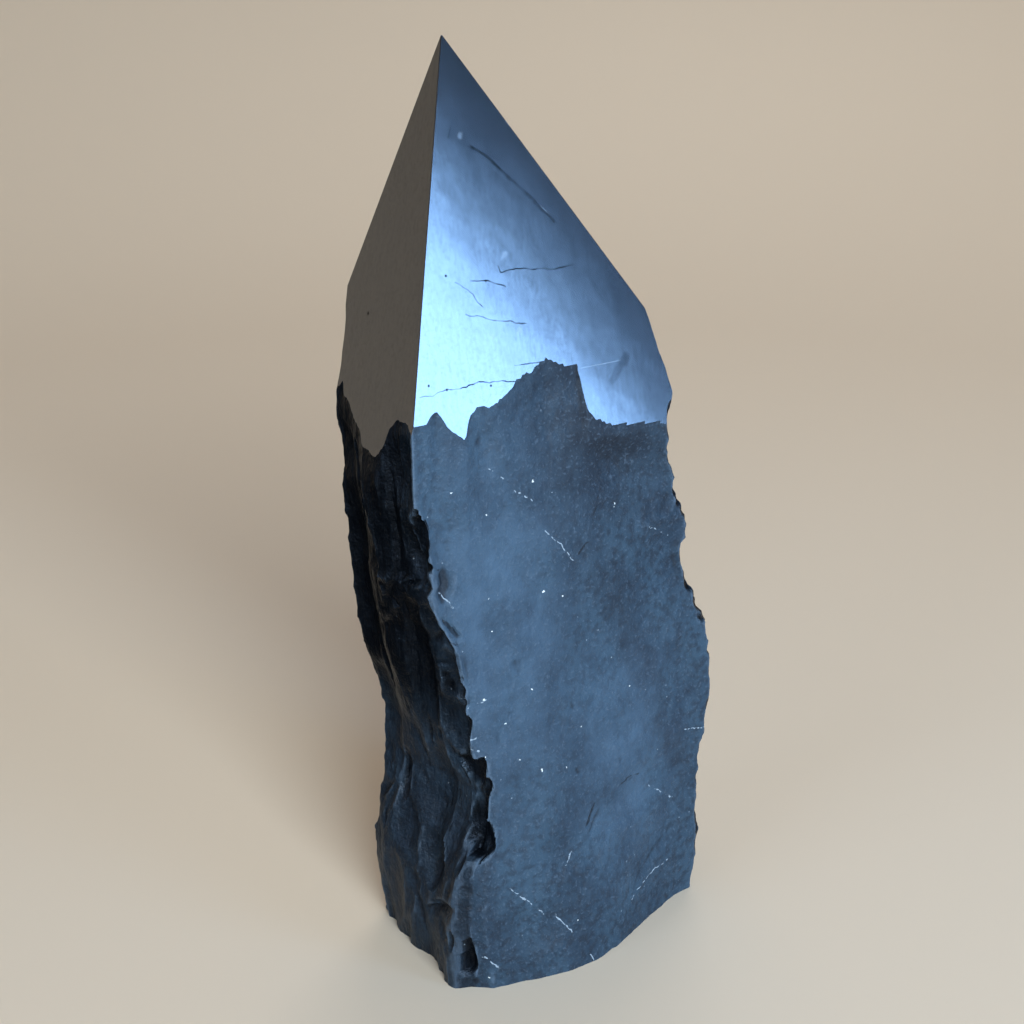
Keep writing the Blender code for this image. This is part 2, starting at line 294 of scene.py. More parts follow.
LEFT_ARRIS = [
    (-3, -26.2, 13.2), (0, -26.8, 13.6), (6.5, -27.7, 14.4), (13.5, -28.3, 15.0),
    (18, -28.1, 15.0), (26.5, -26.9, 14.6), (36.5, -25.6, 15.0), (45, -25.7, 15.0),
    (52, -27.1, 15.2), (60.5, -29.5, 15.0), (70.5, -30.7, 15.0), (82, -31.2, 15.4),
    (96.5, -31.2, 16.0), (103.5, -30.9, 16.2), (109, -30.7, 16.5), (113.5, -30.5, 17.5),
    (121.5, -30.2, 18.6), (128, -30.0, 19.8), (166, -29.0, 26.0),
]

FRONT = Wall(
    name="front",
    outward=(0, -1),
    start=FRONT_ARRIS,
    end=RIGHT_ARRIS,
    columns=114,
    facet_lean=0.24,
    polish_edge=[
        (-31, 105.2), (-28.5, 105.3), (-26.5, 107), (-24.5, 103.6), (-21.7, 101.8), (-21, 103.6),
        (-19.5, 105.3), (-15.6, 105.9), (-11.5, 108.2), (-8.8, 109.2), (-4.6, 111.2),
        (-2.3, 110), (1.4, 109.2), (2.2, 102), (3.5, 100.4), (6.8, 98.7), (14.5, 97.5),
        (21, 97.2),
    ],
    jagged=[(-24.0, 1.0), (-19.0, 1.7), (-10.0, 1.5), (-5.0, 0.4), (3.0, 0.15)],
    swells=[
        Swell(-3.5, -2, 17, 30, 6.4), Swell(-12, 42, 16, 18, 0.8), Swell(9, 93, 6, 6, -0.7),
        Swell(14, 62, 9, 12, -0.7), Swell(2, 75, 9, 14, 0.5), Swell(21, 20, 7, 12, -0.6),
    ],
    scars=[
        Scar(12, 86, 10, 9, 0.7, 0.3), Scar(-16, 92, 9, 8, 0.5), Scar(21, 70, 7, 9, 0.9, -0.3),
        Scar(10, 27, 9, 6, 0.8, 0.4), Scar(-6, 22, 8, 5, 0.6, -0.5), Scar(23, 45, 6, 10, 0.8),
        Scar(-19, 66, 6, 9, 0.6, 0.2), Scar(4, 54, 11, 9, 0.5, -0.4), Scar(-14, 10, 8, 6, 0.7),
        Scar(-17.5, 98, 3.4, 7.5, 0.8), Scar(-26, 84, 4, 8, 0.7, 0.2),
    ],
    ledges=[
        Ledge(-5.2, 99, 90, 14, 1.1, 12, 7), Ledge(9, 91, -35, 9, 0.9, 5, 10),
        Ledge(10.5, 30, 12, 4, 0.7, 1.0, 6), Ledge(0.5, 26, 50, 4, 0.7, 1.0, 6),
        Ledge(19, 56, 65, 12, 0.4, 9, 4), Ledge(-12, 76, -55, 15, 0.6, 8, 9),
        Ledge(14, 12, 30, 9, 0.7, 7, 2), Ledge(-16, 34, 80, 12, 0.6, 7, 6),
    ],
)

RIGHT = Wall(
    name="right",
    outward=(1, 0),
    start=RIGHT_ARRIS,
    end=BACK_ARRIS,
    columns=56,
    facet_lean=0.741,
    polish_edge=[
        (-9, 116.5), (-5, 116.4), (-3, 114.5), (-0.5, 112.5), (2, 115.5), (4.5, 117),
        (7, 113.6), (10, 114.8), (13, 119.5), (16, 121), (20, 122.5),
    ],
    swells=[
        Swell(1, 0, 12, 20, 1.6), Swell(4, 48, 10, 18, 1.6), Swell(2, 84, 9, 14, -1.2),
        Swell(4, 104, 9, 9, 1.4),
    ],
    scars=[
        Scar(-6, 88, 4, 14, 1.7), Scar(6, 74, 5, 17, 2.1, 0.1), Scar(-2, 58, 4.5, 11, 1.5, -0.1),
        Scar(9, 42, 5, 13, 1.8), Scar(-5, 30, 5, 12, 1.6, 0.15), Scar(4, 15, 5.5, 11, 1.7),
        Scar(12, 98, 4, 12, 1.5), Scar(0, 102, 4, 8, 1.2, -0.2),
    ],
    ledges=[
        Ledge(2, 92, 20, 9, 1.9, 1.5, 12), Ledge(-3, 68, -30, 8, 1.6, 1.5, 10),
        Ledge(6, 52, 14, 9, 1.8, 1.5, 11), Ledge(0, 36, 80, 14, 1.6, 5, 1.5),
        Ledge(8, 22, -20, 8, 1.7, 1.5, 9), Ledge(7, 84, 84, 16, 1.5, 1.5, 5),
    ],
)

BACK = Wall(
    name="back",
    outward=(0, 1),
    start=BACK_ARRIS,
    end=LEFT_ARRIS,
    columns=110,
    facet_lean=0.346,
    polish_edge=[
        (-30, 121.4), (-26.6, 121.4), (-23, 119.2), (-20, 121.6), (-17, 117.5), (-13.5, 113.8),
        (-11, 116.4), (-8.5, 115.6), (-6.5, 119.8), (-3, 122.4), (0.5, 120.4), (3, 116),
        (6, 117.8), (9, 121), (14, 122.6),
    ],
    swells=[
        Swell(-4, 0, 16, 22, 2.2), Swell(6, 58, 14, 22, 1.8), Swell(-16, 38, 10, 20, 1.2),
        Swell(-14, 84, 10, 16, -1.3), Swell(12, 92, 8, 12, 1.2),
    ],
    scars=[
        Scar(-20, 96, 7, 15, 1.8, 0.2), Scar(-6, 100, 8, 12, 1.5, -0.3), Scar(8, 84, 8, 16, 1.9),
        Scar(-12, 66, 9, 14, 2.0, 0.3), Scar(3, 52, 7, 12, 1.4, -0.2), Scar(17, 60, 7, 15, 1.8),
        Scar(-19, 44, 7, 13, 1.6), Scar(-4, 30, 9, 12, 1.7, 0.4), Scar(13, 28, 8, 13, 1.8, -0.3),
        Scar(-15, 12, 8, 9, 1.5), Scar(5, 9, 8, 8, 1.4), Scar(19, 9, 6, 9, 1.2),
    ],
    ledges=[
        Ledge(-14, 92, 18, 13, 2.0, 1.5, 14), Ledge(10, 74, -24, 13, 2.1, 1.5, 13),
        Ledge(-8, 56, 12, 12, 1.9, 1.5, 12), Ledge(14, 40, 28, 12, 2.0, 1.5, 13),
        Ledge(-12, 27, -16, 12, 1.8, 1.5, 11), Ledge(2, 88, 78, 20, 1.7, 8, 1.5),
        Ledge(-22, 62, 82, 18, 1.6, 6, 1.5), Ledge(6, 16, 8, 13, 1.5, 1.5, 10),
    ],
)

LEFT = Wall(
    name="left",
    outward=(-1, 0),
    start=LEFT_ARRIS,
    end=FRONT_ARRIS,
    columns=64,
    facet_lean=0.265,
    polish_edge=[
        (-8, 105.4), (-3.6, 105.2), (-1.7, 103.4), (-1, 100.2), (0.9, 98.3), (5.6, 98.3),
        (7.2, 100.6), (10, 102.7), (13.8, 105), (14.8, 107.5), (16.6, 108.4),
    ],
    swells=[
        Swell(3, 84, 5, 30, 2.0), Swell(4, 52, 4, 16, 1.6), Swell(-11.5, 2, 5.5, 22, 3.4),
        Swell(1, 0, 10, 16, 2.2), Swell(-12.5, 38, 2.2, 18, 2.4), Swell(9, 22, 5, 14, 1.4),
    ],
    scars=[
        Scar(-5.2, 82, 3.2, 7.5, 1.6, 0.1), Scar(-5.5, 96, 2.6, 8, 1.2), Scar(-1, 90, 2.0, 10, 1.0),
        Scar(-8.5, 70, 3.6, 6, 1.5, 0.4), Scar(-9.5, 60, 3.4, 6.5, 1.8, 0.3),
        Scar(-8.8, 50, 4.6, 8, 2.4, 0.2), Scar(-2, 60, 2.6, 14, 1.5), Scar(11, 74, 4.5, 20, 1.8),
        Scar(11, 46, 4, 12, 1.2), Scar(7, 33, 1.6, 7, 1.4), Scar(-1.5, 34, 4.5, 12, 1.8),
        Scar(-3, 21, 4.0, 7, 2.2, 0.3), Scar(-7.5, 30, 3.0, 12, 1.3),
        Scar(-8, 11, 3.4, 6, 1.6, 0.6), Scar(7, 10, 3.5, 9, 1.3),
    ],
    ledges=[
        Ledge(4.5, 88, 84, 20, 1.5, 1.2, 7), Ledge(-7, 77, -28, 5, 1.4, 1.2, 6),
        Ledge(-7.5, 14.5, -22, 6, 1.9, 1.5, 6), Ledge(-9.6, 34, 86, 17, 1.7, 3.5, 1.2),
        Ledge(-10, 65, -50, 6, 1.3, 1.2, 4), Ledge(3, 46, 82, 16, 1.4, 1.2, 6),
        Ledge(10, 62, 80, 16, 1.3, 5, 1.2),
    ],
)

# Finer breaks of the left and front walls, which the solid is too coarse for.
LEFT.scars += [
    Scar(-5.4, 82.5, 2.4, 6.8, 2.6, 0.12), Scar(-9.6, 57.5, 3.0, 5.5, 2.9, 0.25),
    Scar(7.6, 33.5, 1.0, 5.0, 2.2), Scar(-10.8, 34.5, 1.9, 15.0, 3.0),
    Scar(-3.2, 19.5, 2.6, 6.0, 2.6), Scar(-11.6, 9.6, 0.9, 3.4, 1.9),
    Scar(-3.2, 95.0, 1.3, 7.5, 1.6, 0.05), Scar(-7.0, 100.5, 0.9, 4.0, 1.3),
    Scar(3.2, 97.0, 1.2, 6.5, 1.1),
]
LEFT.ledges += [
    Ledge(-1.5, 88, 92, 15, 1.5, 3.4, 0.6), Ledge(-6.2, 84, 84, 10, 1.3, 0.6, 3.0),
    Ledge(-8.6, 71, -58, 7, 1.6, 0.7, 3.6), Ledge(-4.6, 77.5, -24, 5, 1.5, 0.6, 3.2),
    Ledge(-10.5, 66, 64, 7, 1.2, 3.0, 0.6), Ledge(-8.4, 40, 86, 15, 1.4, 3.4, 0.7),
    Ledge(-12.4, 33, 92, 13, 1.4, 0.7, 2.4), Ledge(-6.4, 13.4, -30, 6, 2.4, 0.8, 4.0),
    Ledge(2.2, 38, 80, 18, 1.1, 4.5, 0.7), Ledge(-0.6, 64, 94, 16, 1.3, 4.0, 0.7),
    Ledge(8.6, 90, 86, 16, 1.2, 4.0, 0.6), Ledge(-1.0, 8, 70, 9, 1.1, 4.0, 0.7),
]

FRONT.scars += [Scar(-26.7, 78.5, 1.9, 4.2, 1.1, 0.1), Scar(-24.0, 63.0, 1.6, 5.0, 0.8, -0.1)]
FRONT.ledges += [
    Ledge(-26.6, 71.0, -50, 4.6, 1.2, 0.5, 3.2), Ledge(-25.0, 67.5, -72, 4.5, 1.0, 0.5, 2.6),
    Ledge(-0.5, 27.2, 55, 3.0, 0.6, 0.5, 4.0), Ledge(10.1, 30.2, 12, 3.6, 0.6, 0.5, 4.0),
]

WALLS = [FRONT, RIGHT, BACK, LEFT]


@dataclass
class FractureScars:
    """The smaller scars, drawn at random: those of the solid first, then finer ones.

    The first seed and the first draws are those of the solid, so that both have the same
    flakes. The fine ones are long flutes down the deeply broken walls and shallow dents on the
    flat front. Splinters leave crisp steps, on all walls but the front.
    """

    flakes: dict[str, int] = field(default_factory=lambda: {
        "front": 26, "right": 26, "back": 44, "left": 22})
    flutes: dict[str, int] = field(default_factory=lambda: {
        "front": 150, "right": 210, "back": 380, "left": 150})
    splinters: dict[str, int] = field(default_factory=lambda: {
        "front": 0, "right": 70, "back": 110, "left": 46})
    flake_seed: int = 11
    flute_seed: int = 29
    splinter_seed: int = 17
    highest: float = 118.0
    # Sizes are drawn between these pairs. Slenderness is length over width.
    flake_half_width: Pair = (2.2, 4.6)
    flake_slenderness: Pair = (1.2, 3.0)
    flake_depth: Pair = (0.5, 1.2)
    flake_lean: Pair = (-0.35, 0.35)
    flute_half_width: Pair = (0.7, 2.4)
    flute_slenderness: Pair = (1.5, 6.0)
    flute_depth: Pair = (0.25, 0.95)
    flute_lean: Pair = (-0.3, 0.3)
    longest_flute: float = 9.0
    # The flat front's flakes and flutes are shallower, and its flutes are shorter.
    front_flake_share: float = 0.35
    front_flute_share: float = 0.3
    front_flute_slenderness: Pair = (0.8, 2.0)
    # A splinter's step is steep on one side and gentle on the other. Its angle is a mean and
    # a spread.
    splinter_gentle: Pair = (2.0, 5.0)
    splinter_steep: Pair = (0.35, 0.8)
    splinter_angle: Pair = (88.0, 16.0)
    splinter_half_length: Pair = (3.0, 12.0)
    splinter_depth: Pair = (0.45, 1.3)

    def strike(self, walls: list[Wall]) -> None:
        """Add the random scars to every wall.

        Args:
            walls: The four walls, whose lists grow.
        """
        for draw, counts, seed in ((self.flake, self.flakes, self.flake_seed),
                                   (self.flute, self.flutes, self.flute_seed)):
            numbers = random.Random(seed)
            for wall in walls:
                wall.scars += [draw(wall, numbers) for _ in range(counts[wall.name])]
        numbers = random.Random(self.splinter_seed)
        for wall in walls:
            wall.ledges += [self.splinter(wall, numbers)
                            for _ in range(self.splinters[wall.name])]

    def flake(self, wall: Wall, numbers: random.Random) -> Scar:
        """Draw one flake scar, of the size that the solid has too.

        Args:
            wall: The wall that it is on.
            numbers: Where the random sizes come from.

        Returns:
            The scar.
        """
        half_width = numbers.uniform(*self.flake_half_width)
        return Scar(
            across=numbers.uniform(*wall.limits),
            height=numbers.uniform(0, self.highest),
            half_width=half_width,
            half_height=half_width * numbers.uniform(*self.flake_slenderness),
            depth=((self.front_flake_share if wall is FRONT else 1.0)
                   * numbers.uniform(*self.flake_depth)),
            lean=numbers.uniform(*self.flake_lean),
        )

    def flute(self, wall: Wall, numbers: random.Random) -> Scar:
        """Draw one fine scar, narrow and long on all walls but the front.

        Args:
            wall: The wall that it is on.
            numbers: Where the random sizes come from.

        Returns:
            The scar.
        """
        front = wall is FRONT
        half_width = numbers.uniform(*self.flute_half_width)
        slender = numbers.uniform(
            *(self.front_flute_slenderness if front else self.flute_slenderness))
        depth = (self.front_flute_share if front else 1.0) * numbers.uniform(*self.flute_depth)
        return Scar(
            across=numbers.uniform(*wall.limits),
            height=numbers.uniform(0, self.highest),
            half_width=half_width,
            half_height=min(half_width * slender, self.longest_flute),
            depth=depth,
            lean=numbers.uniform(*self.flute_lean),
        )

    def splinter(self, wall: Wall, numbers: random.Random) -> Ledge:
        """Draw one crisp step where a splinter came away.

        Args:
            wall: The wall that it is on.
            numbers: Where the random sizes come from.

        Returns:
            The step.
        """
        gentle, steep = (numbers.uniform(*self.splinter_gentle),
                         numbers.uniform(*self.splinter_steep))
        runs = (gentle, steep) if numbers.random() < 0.5 else (steep, gentle)
        return Ledge(
            across=numbers.uniform(*wall.limits),
            height=numbers.uniform(0, self.highest),
            angle=numbers.gauss(*self.splinter_angle),
            half_length=numbers.uniform(*self.splinter_half_length),
            depth=numbers.uniform(*self.splinter_depth),
            run_above=runs[0],
            run_below=runs[1],
        )


@dataclass(frozen=True)
class Scoop:
    """The hollow that an egg-shaped tool leaves in a corner of the block.

    It is as deep as its bite, and meets both walls in a crisp rim. Behind is how far its
    middle lies past the arris, toward the back.
    """

    height: float
    radius: float
    stretch: float
    bite: float
    behind: float = 0.0


@dataclass
class ArrisChips:
    """Scoops knocked out of the block's corners, which leave them jagged."""

    count: int = 60
    front_count: int = 26
    seed: int = 5
    highest: float = 101.0
    radius: Pair = (1.2, 4.2)
    front_radius: Pair = (0.8, 2.2)
    stretch: Pair = (0.9, 2.2)
    bite: Pair = (0.25, 1.1)
    front_bite: Pair = (0.1, 0.45)
    # Deep ones of the front left arris, which are struck from the left, the way given.
    deep: list[Scoop] = field(default_factory=lambda: [
        Scoop(85.5, 2.6, 2.4, 1.5, 1.6), Scoop(81.5, 2.0, 1.6, 1.0, 2.4),
        Scoop(57.5, 4.2, 1.6, 1.1, 3.4), Scoop(51.0, 3.2, 1.4, 0.9, 2.6),
        Scoop(40.5, 3.6, 1.9, 1.9, 2.4), Scoop(34.0, 3.2, 2.3, 1.9, 1.8),
        Scoop(6.0, 1.4, 3.6, 0.9, 0.9),
    ])
    deep_way: Vector = Vector((0.97, 0.24))
    # Each wave that makes a rim uneven, as its length and its share.
    rim_waves: list[Pair] = field(default_factory=lambda: [(9.0, 0.5), (4.3, 0.45), (2.3, 0.14)])

    def scoops(self, wall: Wall, before: Wall,
               numbers: random.Random) -> list[tuple[Scoop, Vector]]:
        """The scoops of the arris that a wall starts on.

        Args:
            wall: The wall.
            before: The wall on the other side of the arris.
            numbers: Where the random sizes come from.

        Returns:
            Each scoop and the way it goes in.
        """
        inward = -(Vector(wall.outward) + Vector(before.outward)).normalized()
        front = wall is FRONT
        radius = self.front_radius if front else self.radius
        bite = self.front_bite if front else self.bite
        chips = [Scoop(numbers.uniform(0, self.highest), numbers.uniform(*radius),
                       numbers.uniform(*self.stretch), numbers.uniform(*bite))
                 for _ in range(self.front_count if front else self.count)]
        return ([(chip, inward) for chip in chips]
                + [(scoop, self.deep_way.normalized()) for scoop in self.deep if front])

    def unevenness(self, rings: np.ndarray, scoop: Scoop) -> np.ndarray:
        """How much nearer than round the rim of a scoop is.

        Args:
            rings: Points of the block, by row and round it.
            scoop: The scoop.

        Returns:
            For each point, what its squared distance from the scoop's middle is taken times.
        """
        across, height = rings[..., 0] + rings[..., 1], rings[..., 2]
        rim = np.zeros_like(height)
        for turn, (wave, share) in enumerate(self.rim_waves):
            tilt = scoop.height * (turn + 1)
            rim += share * np.sin(math.tau / wave * (height * math.cos(tilt)
                                                     + across * math.sin(tilt)) + tilt)
        return np.exp(rim)

    def knock(self, rings: np.ndarray, walls: list[Wall]) -> np.ndarray:
        """Push the points near each arris inward, in place.

        Args:
            rings: Points of the block, by row and round it.
            walls: The four walls, each of which starts on its own arris.

        Returns:
            How deep each point was pushed, in millimetres.
        """
        numbers = random.Random(self.seed)
        bitten = np.zeros(rings.shape[:2])
        for wall, before in zip(walls, walls[-1:] + walls[:-1]):
            for scoop, way in self.scoops(wall, before, numbers):
                inward = np.array(way)
                arris = arris_at(wall.start, np.array(scoop.height)) - np.array(BOX_CENTRE)
                middle = arris - inward * (scoop.radius - min(scoop.bite, scoop.radius / 2))
                offset = rings[..., :2] - middle - np.array((0, scoop.behind))
                deep = offset @ inward
                above = (rings[..., 2] - scoop.height) / scoop.stretch
                around = (offset ** 2).sum(axis=-1) - deep ** 2 + above ** 2
                around *= self.unevenness(rings, scoop)
                surface = np.sqrt(np.maximum(scoop.radius ** 2 - around, 0))
                depth = np.where(np.abs(deep) < surface, surface - deep, 0)
                rings[..., :2] += depth[..., None] * inward
                bitten = np.maximum(bitten, depth)
        return bitten


@dataclass
class RawBlock:
    """The block as it broke, before grinding: rings of points through the four arrises."""

    walls: list[Wall]
    cell: float = 0.5
    lowest: float = -3.0
    highest_rubble: float = 128.0
    top: float = 166.0
    shoulder_drop: float = 13.0
    polish_margin: float = 6.0
    arris_margin: float = 2.4
    grain_margin: float = 2.5
    # Small teeth of the polish's edge, by spacing and size, and how far each one may stray.
    teeth: list[Pair] = field(default_factory=lambda: [(2.6, 0.9), (1.1, 0.6)])
    teeth_seed: int = 3
    teeth_stray: float = 0.45
    # A chip this deep has lost this share of the old face.
    chip_depth: float = 0.8
    chip_share: float = 0.85
    # The front is an old joint face. So, less clearly, are the right and the back, the foot of the
    # left side and the strip of it beside the front. Old face is coloured a paler slate. On the
    # front and on that foot and strip, this is partly painted light. The black of the rest of the
    # left side is partly painted shade.
    ages: dict[str, float] = field(default_factory=lambda: {
        "front": 1.0, "right": 0.3, "back": 0.3})
    old_and_lit_foot: float = 60.0
    old_and_lit_foot_fade: float = 18.0
    old_and_lit_foot_share: float = 0.38
    old_and_lit_strip_end: float = -2.0
    old_and_lit_strip_fade: float = 8.0
    old_and_lit_strip_share: float = 0.45

    def ragged(self, across: np.ndarray, wall: Wall) -> np.ndarray:
        """Small teeth of the edge of the polish.

        Args:
            across: Place of each point across the wall.
            wall: The wall.

        Returns:
            The heights to add to the edge.
        """
        numbers = random.Random(self.teeth_seed + WALLS.index(wall))
        low, high = wall.limits
        rise = np.zeros_like(across)
        for spacing, size in self.teeth:
            places = np.arange(low - spacing, high + 2 * spacing, spacing)
            shifts = [place + numbers.uniform(-self.teeth_stray, self.teeth_stray) * spacing
                      for place in places]
            sizes = [numbers.uniform(-size, size) * numbers.random() for _ in places]
            rise += np.interp(across, shifts, sizes)
        places, shares = np.array(wall.jagged).T
        return rise * np.interp(across, places, shares)

    def wall_rows(self, wall: Wall, heights: np.ndarray) -> tuple[np.ndarray, np.ndarray]:
        """Points of one wall, and how fully broken each one is.

        Args:
            wall: The wall.
            heights: Heights of the rows.

        Returns:
            The points by row and column, and a value for each, from 0 at the edge of the
            polish to 1 where the surface has all its grain.
        """
        fractions = np.linspace(0, 1, wall.columns + 1)
        fraction, height = np.meshgrid(fractions, heights)
        flat = wall.between(fraction, height)
        across = flat[..., wall.axis]

        edge_across, edge_heights = np.array(wall.polish_edge, dtype=float).T
        edge = np.interp(across, edge_across, edge_heights) + self.ragged(across, wall)
        below_edge = edge - height
        # Where the polish ends, the raw wall has to lie on the ground facet.
        shortfall = wall.facet_reach(edge) - wall.reach(wall.between(fraction, edge))
        shoulder = shortfall * np.exp(-(np.maximum(below_edge, 0) / self.shoulder_drop) ** 2)

        width = np.abs(arris_at(wall.end, height) - arris_at(wall.start, height))
        beside_arris = np.minimum(fraction, 1 - fraction) * width[..., wall.axis]
        away_from_arris = smooth(beside_arris / self.arris_margin)
        broken = wall.relief(across, height) * smooth(below_edge / self.polish_margin)
        push = (shoulder + broken) * away_from_arris
        sideways = flat + push[..., None] * np.array(wall.outward) - np.array(BOX_CENTRE)
        points = np.concatenate([sideways, height[..., None]], axis=-1)
        return points, smooth(below_edge / self.grain_margin)

    def age(self, wall: Wall, points: np.ndarray) -> np.ndarray:
        """How much of an old face a wall is, which also sets how much painted light it gets.

        Args:
            wall: The wall.
            points: Its points, by row and column.

        Returns:
            The value of each point, from 0 where it is a fresh break, coloured as in shade, to 1,
            coloured as lit.
        """
        if wall.name != "left":
            return np.full(points.shape[:2], self.ages[wall.name])
        foot = smooth((self.old_and_lit_foot - points[..., 2]) / self.old_and_lit_foot_fade)
        beside_front = smooth((self.old_and_lit_strip_end - points[..., 1]) / self.old_and_lit_strip_fade)
        return np.maximum(self.old_and_lit_foot_share * foot, self.old_and_lit_strip_share * beside_front)

    def mesh(self) -> bpy.types.Mesh:
        """Build the closed block, taller than the finished stone.

        Returns:
            The mesh, with its mask and its old face, which also carries painted light, as
            attributes.
        """
        rows = int(round((self.highest_rubble - self.lowest) / self.cell))
        heights = np.append(np.linspace(self.lowest, self.highest_rubble, rows + 1), self.top)
        sides = [self.wall_rows(wall, heights) for wall in self.walls]
        # A wall's last column is the next wall's first, so it is left out.
        rings = np.concatenate([points[:, :-1] for points, _ in sides], axis=1)
        masks = np.concatenate([mask[:, :-1] for _, mask in sides], axis=1)
        old = [self.age(wall, points)[:, :-1] for wall, (points, _) in zip(self.walls, sides)]
        bitten = ArrisChips().knock(rings, self.walls)
        kept = 1 - self.chip_share * smooth(bitten / self.chip_depth)
        old_face = np.concatenate(old, axis=1) * kept

        levels, around = masks.shape
        index = np.arange(levels * around).reshape(levels, around)
        after = np.roll(index, -1, axis=1)
        quads = np.stack([index[:-1], after[:-1], after[1:], index[1:]], axis=-1).reshape(-1, 4)
        faces = quads.tolist() + [index[0, ::-1].tolist(), index[-1].tolist()]
        mesh = bpy.data.meshes.new("raw block")
        mesh.from_pydata((rings.reshape(-1, 3) * MM).tolist(), [], faces)
        for layer, values in ((Layer.BROKEN_MASK, masks), (Layer.OLD_FACE_AND_LIGHT, old_face)):
            attribute = mesh.attributes.new(layer.value, "FLOAT", "POINT")
            attribute.data.foreach_set("value", values.ravel().astype(np.float32))
        mesh.shade_smooth()
        return mesh


@dataclass(frozen=True)
class Hackle:
    """The fine relief of a fracture: hackle that runs down the stone, over a mineral grain.

    Widths, lengths and heights are in millimetres. The tree also measures how far each point stands
    out from its surroundings, as the crests are paler, partly from wear and partly as a painted
    highlight, and the hollows darker, as painted shade.
    """

    hackle_width: float = 1.7
    hackle_length: float = 6.0
    hackle_height: float = 0.20
    hackle_detail: float = 3.0
    hackle_twist: float = 0.6
    grain_size: float = 1.1
    grain_height: float = 0.07
    grain_detail: float = 2.0
    old_face_share: float = 0.3
    crest_reach: int = 5
    seed: float = 4.0

    def sizes(self) -> dict[str, float]:
        """The tree's sizes.

        Returns:
            The name and value of each input of the tree that is a size.
        """
        return {
            "Hackle Width": self.hackle_width, "Hackle Length": self.hackle_length,
            "Hackle Height": self.hackle_height, "Grain Size": self.grain_size,
            "Grain Height": self.grain_height, "Old Face Share": self.old_face_share,
            "Seed": self.seed,
        }

    def tree(self) -> bpy.types.NodeTree:
        """Build the tree that roughens a surface and stores its crests.

        Returns:
            The tree.
        """
        tree = bpy.data.node_groups.new("hackle and grain", "GeometryNodeTree")
        face = tree.interface
        face.new_socket("Geometry", in_out="OUTPUT", socket_type="NodeSocketGeometry")
        face.new_socket("Geometry", in_out="INPUT", socket_type="NodeSocketGeometry")
        for name in self.sizes():
            face.new_socket(name, in_out="INPUT", socket_type="NodeSocketFloat")
        face.new_socket("Crest Reach", in_out="INPUT", socket_type="NodeSocketInt")
        face.new_socket("Stone", in_out="INPUT", socket_type="NodeSocketMaterial")
        given = add_node(tree, "NodeGroupInput").outputs

        place = add_node(tree, "GeometryNodeInputPosition").outputs[0]
        across = add_node(tree, "ShaderNodeMath", {"operation": "DIVIDE"},
                          {0: 1 / MM, 1: given["Hackle Width"]}).outputs[0]
        along = add_node(tree, "ShaderNodeMath", {"operation": "DIVIDE"},
                         {0: 1 / MM, 1: given["Hackle Length"]}).outputs[0]
        stretch = add_node(tree, "ShaderNodeCombineXYZ", {}, {0: across, 1: across, 2: along})
        run = add_node(tree, "ShaderNodeVectorMath", {"operation": "MULTIPLY"},
                       {0: place, 1: stretch.outputs[0]})
        hackle = add_node(tree, "ShaderNodeTexNoise", {"noise_dimensions": "4D"}, {
            "Vector": run.outputs[0], "W": given["Seed"], "Scale": 1.0,
            "Detail": self.hackle_detail, "Distortion": self.hackle_twist})
        fine = add_node(tree, "ShaderNodeMath", {"operation": "DIVIDE"},
                        {0: 1 / MM, 1: given["Grain Size"]}).outputs[0]
        grain = add_node(tree, "ShaderNodeTexNoise", {"noise_dimensions": "4D"}, {
            "Vector": place, "W": given["Seed"], "Scale": fine, "Detail": self.grain_detail})

        old = add_node(tree, "GeometryNodeInputNamedAttribute", {"data_type": "FLOAT"},
                       {"Name": Layer.OLD_FACE_AND_LIGHT.value}).outputs[0]
        fresh = add_node(tree, "ShaderNodeMapRange", {}, {
            "Value": old, "To Min": 1.0, "To Max": given["Old Face Share"]}).outputs[0]
        lift: bpy.types.NodeSocket | None = None
        for noise, height in ((hackle, "Hackle Height"), (grain, "Grain Height")):
            level = add_node(tree, "ShaderNodeMapRange", {"clamp": False}, {
                "Value": noise.outputs[0], "From Min": NOISE_RANGE[0],
                "From Max": NOISE_RANGE[1], "To Min": -1.0, "To Max": 1.0})
            size = add_node(tree, "ShaderNodeMath", {"operation": "MULTIPLY"},
                            {0: level.outputs[0], 1: given[height]}).outputs[0]
            if noise is hackle:
                size = add_node(tree, "ShaderNodeMath", {"operation": "MULTIPLY"},
                                {0: size, 1: fresh}).outputs[0]
            lift = size if lift is None else add_node(
                tree, "ShaderNodeMath", {"operation": "ADD"}, {0: lift, 1: size}).outputs[0]
        mask = add_node(tree, "GeometryNodeInputNamedAttribute", {"data_type": "FLOAT"},
                        {"Name": Layer.BROKEN_MASK.value}).outputs[0]
        masked = add_node(tree, "ShaderNodeMath", {"operation": "MULTIPLY"}, {0: lift, 1: mask})
        metres = add_node(tree, "ShaderNodeMath", {"operation": "MULTIPLY"},
                          {0: masked.outputs[0], 1: MM})
        outward = add_node(tree, "GeometryNodeInputNormal").outputs[0]
        offset = add_node(tree, "ShaderNodeVectorMath", {"operation": "SCALE"},
                          {0: outward, "Scale": metres.outputs[0]})
        moved = add_node(tree, "GeometryNodeSetPosition", {}, {
            "Geometry": given["Geometry"], "Offset": offset.outputs[0]})

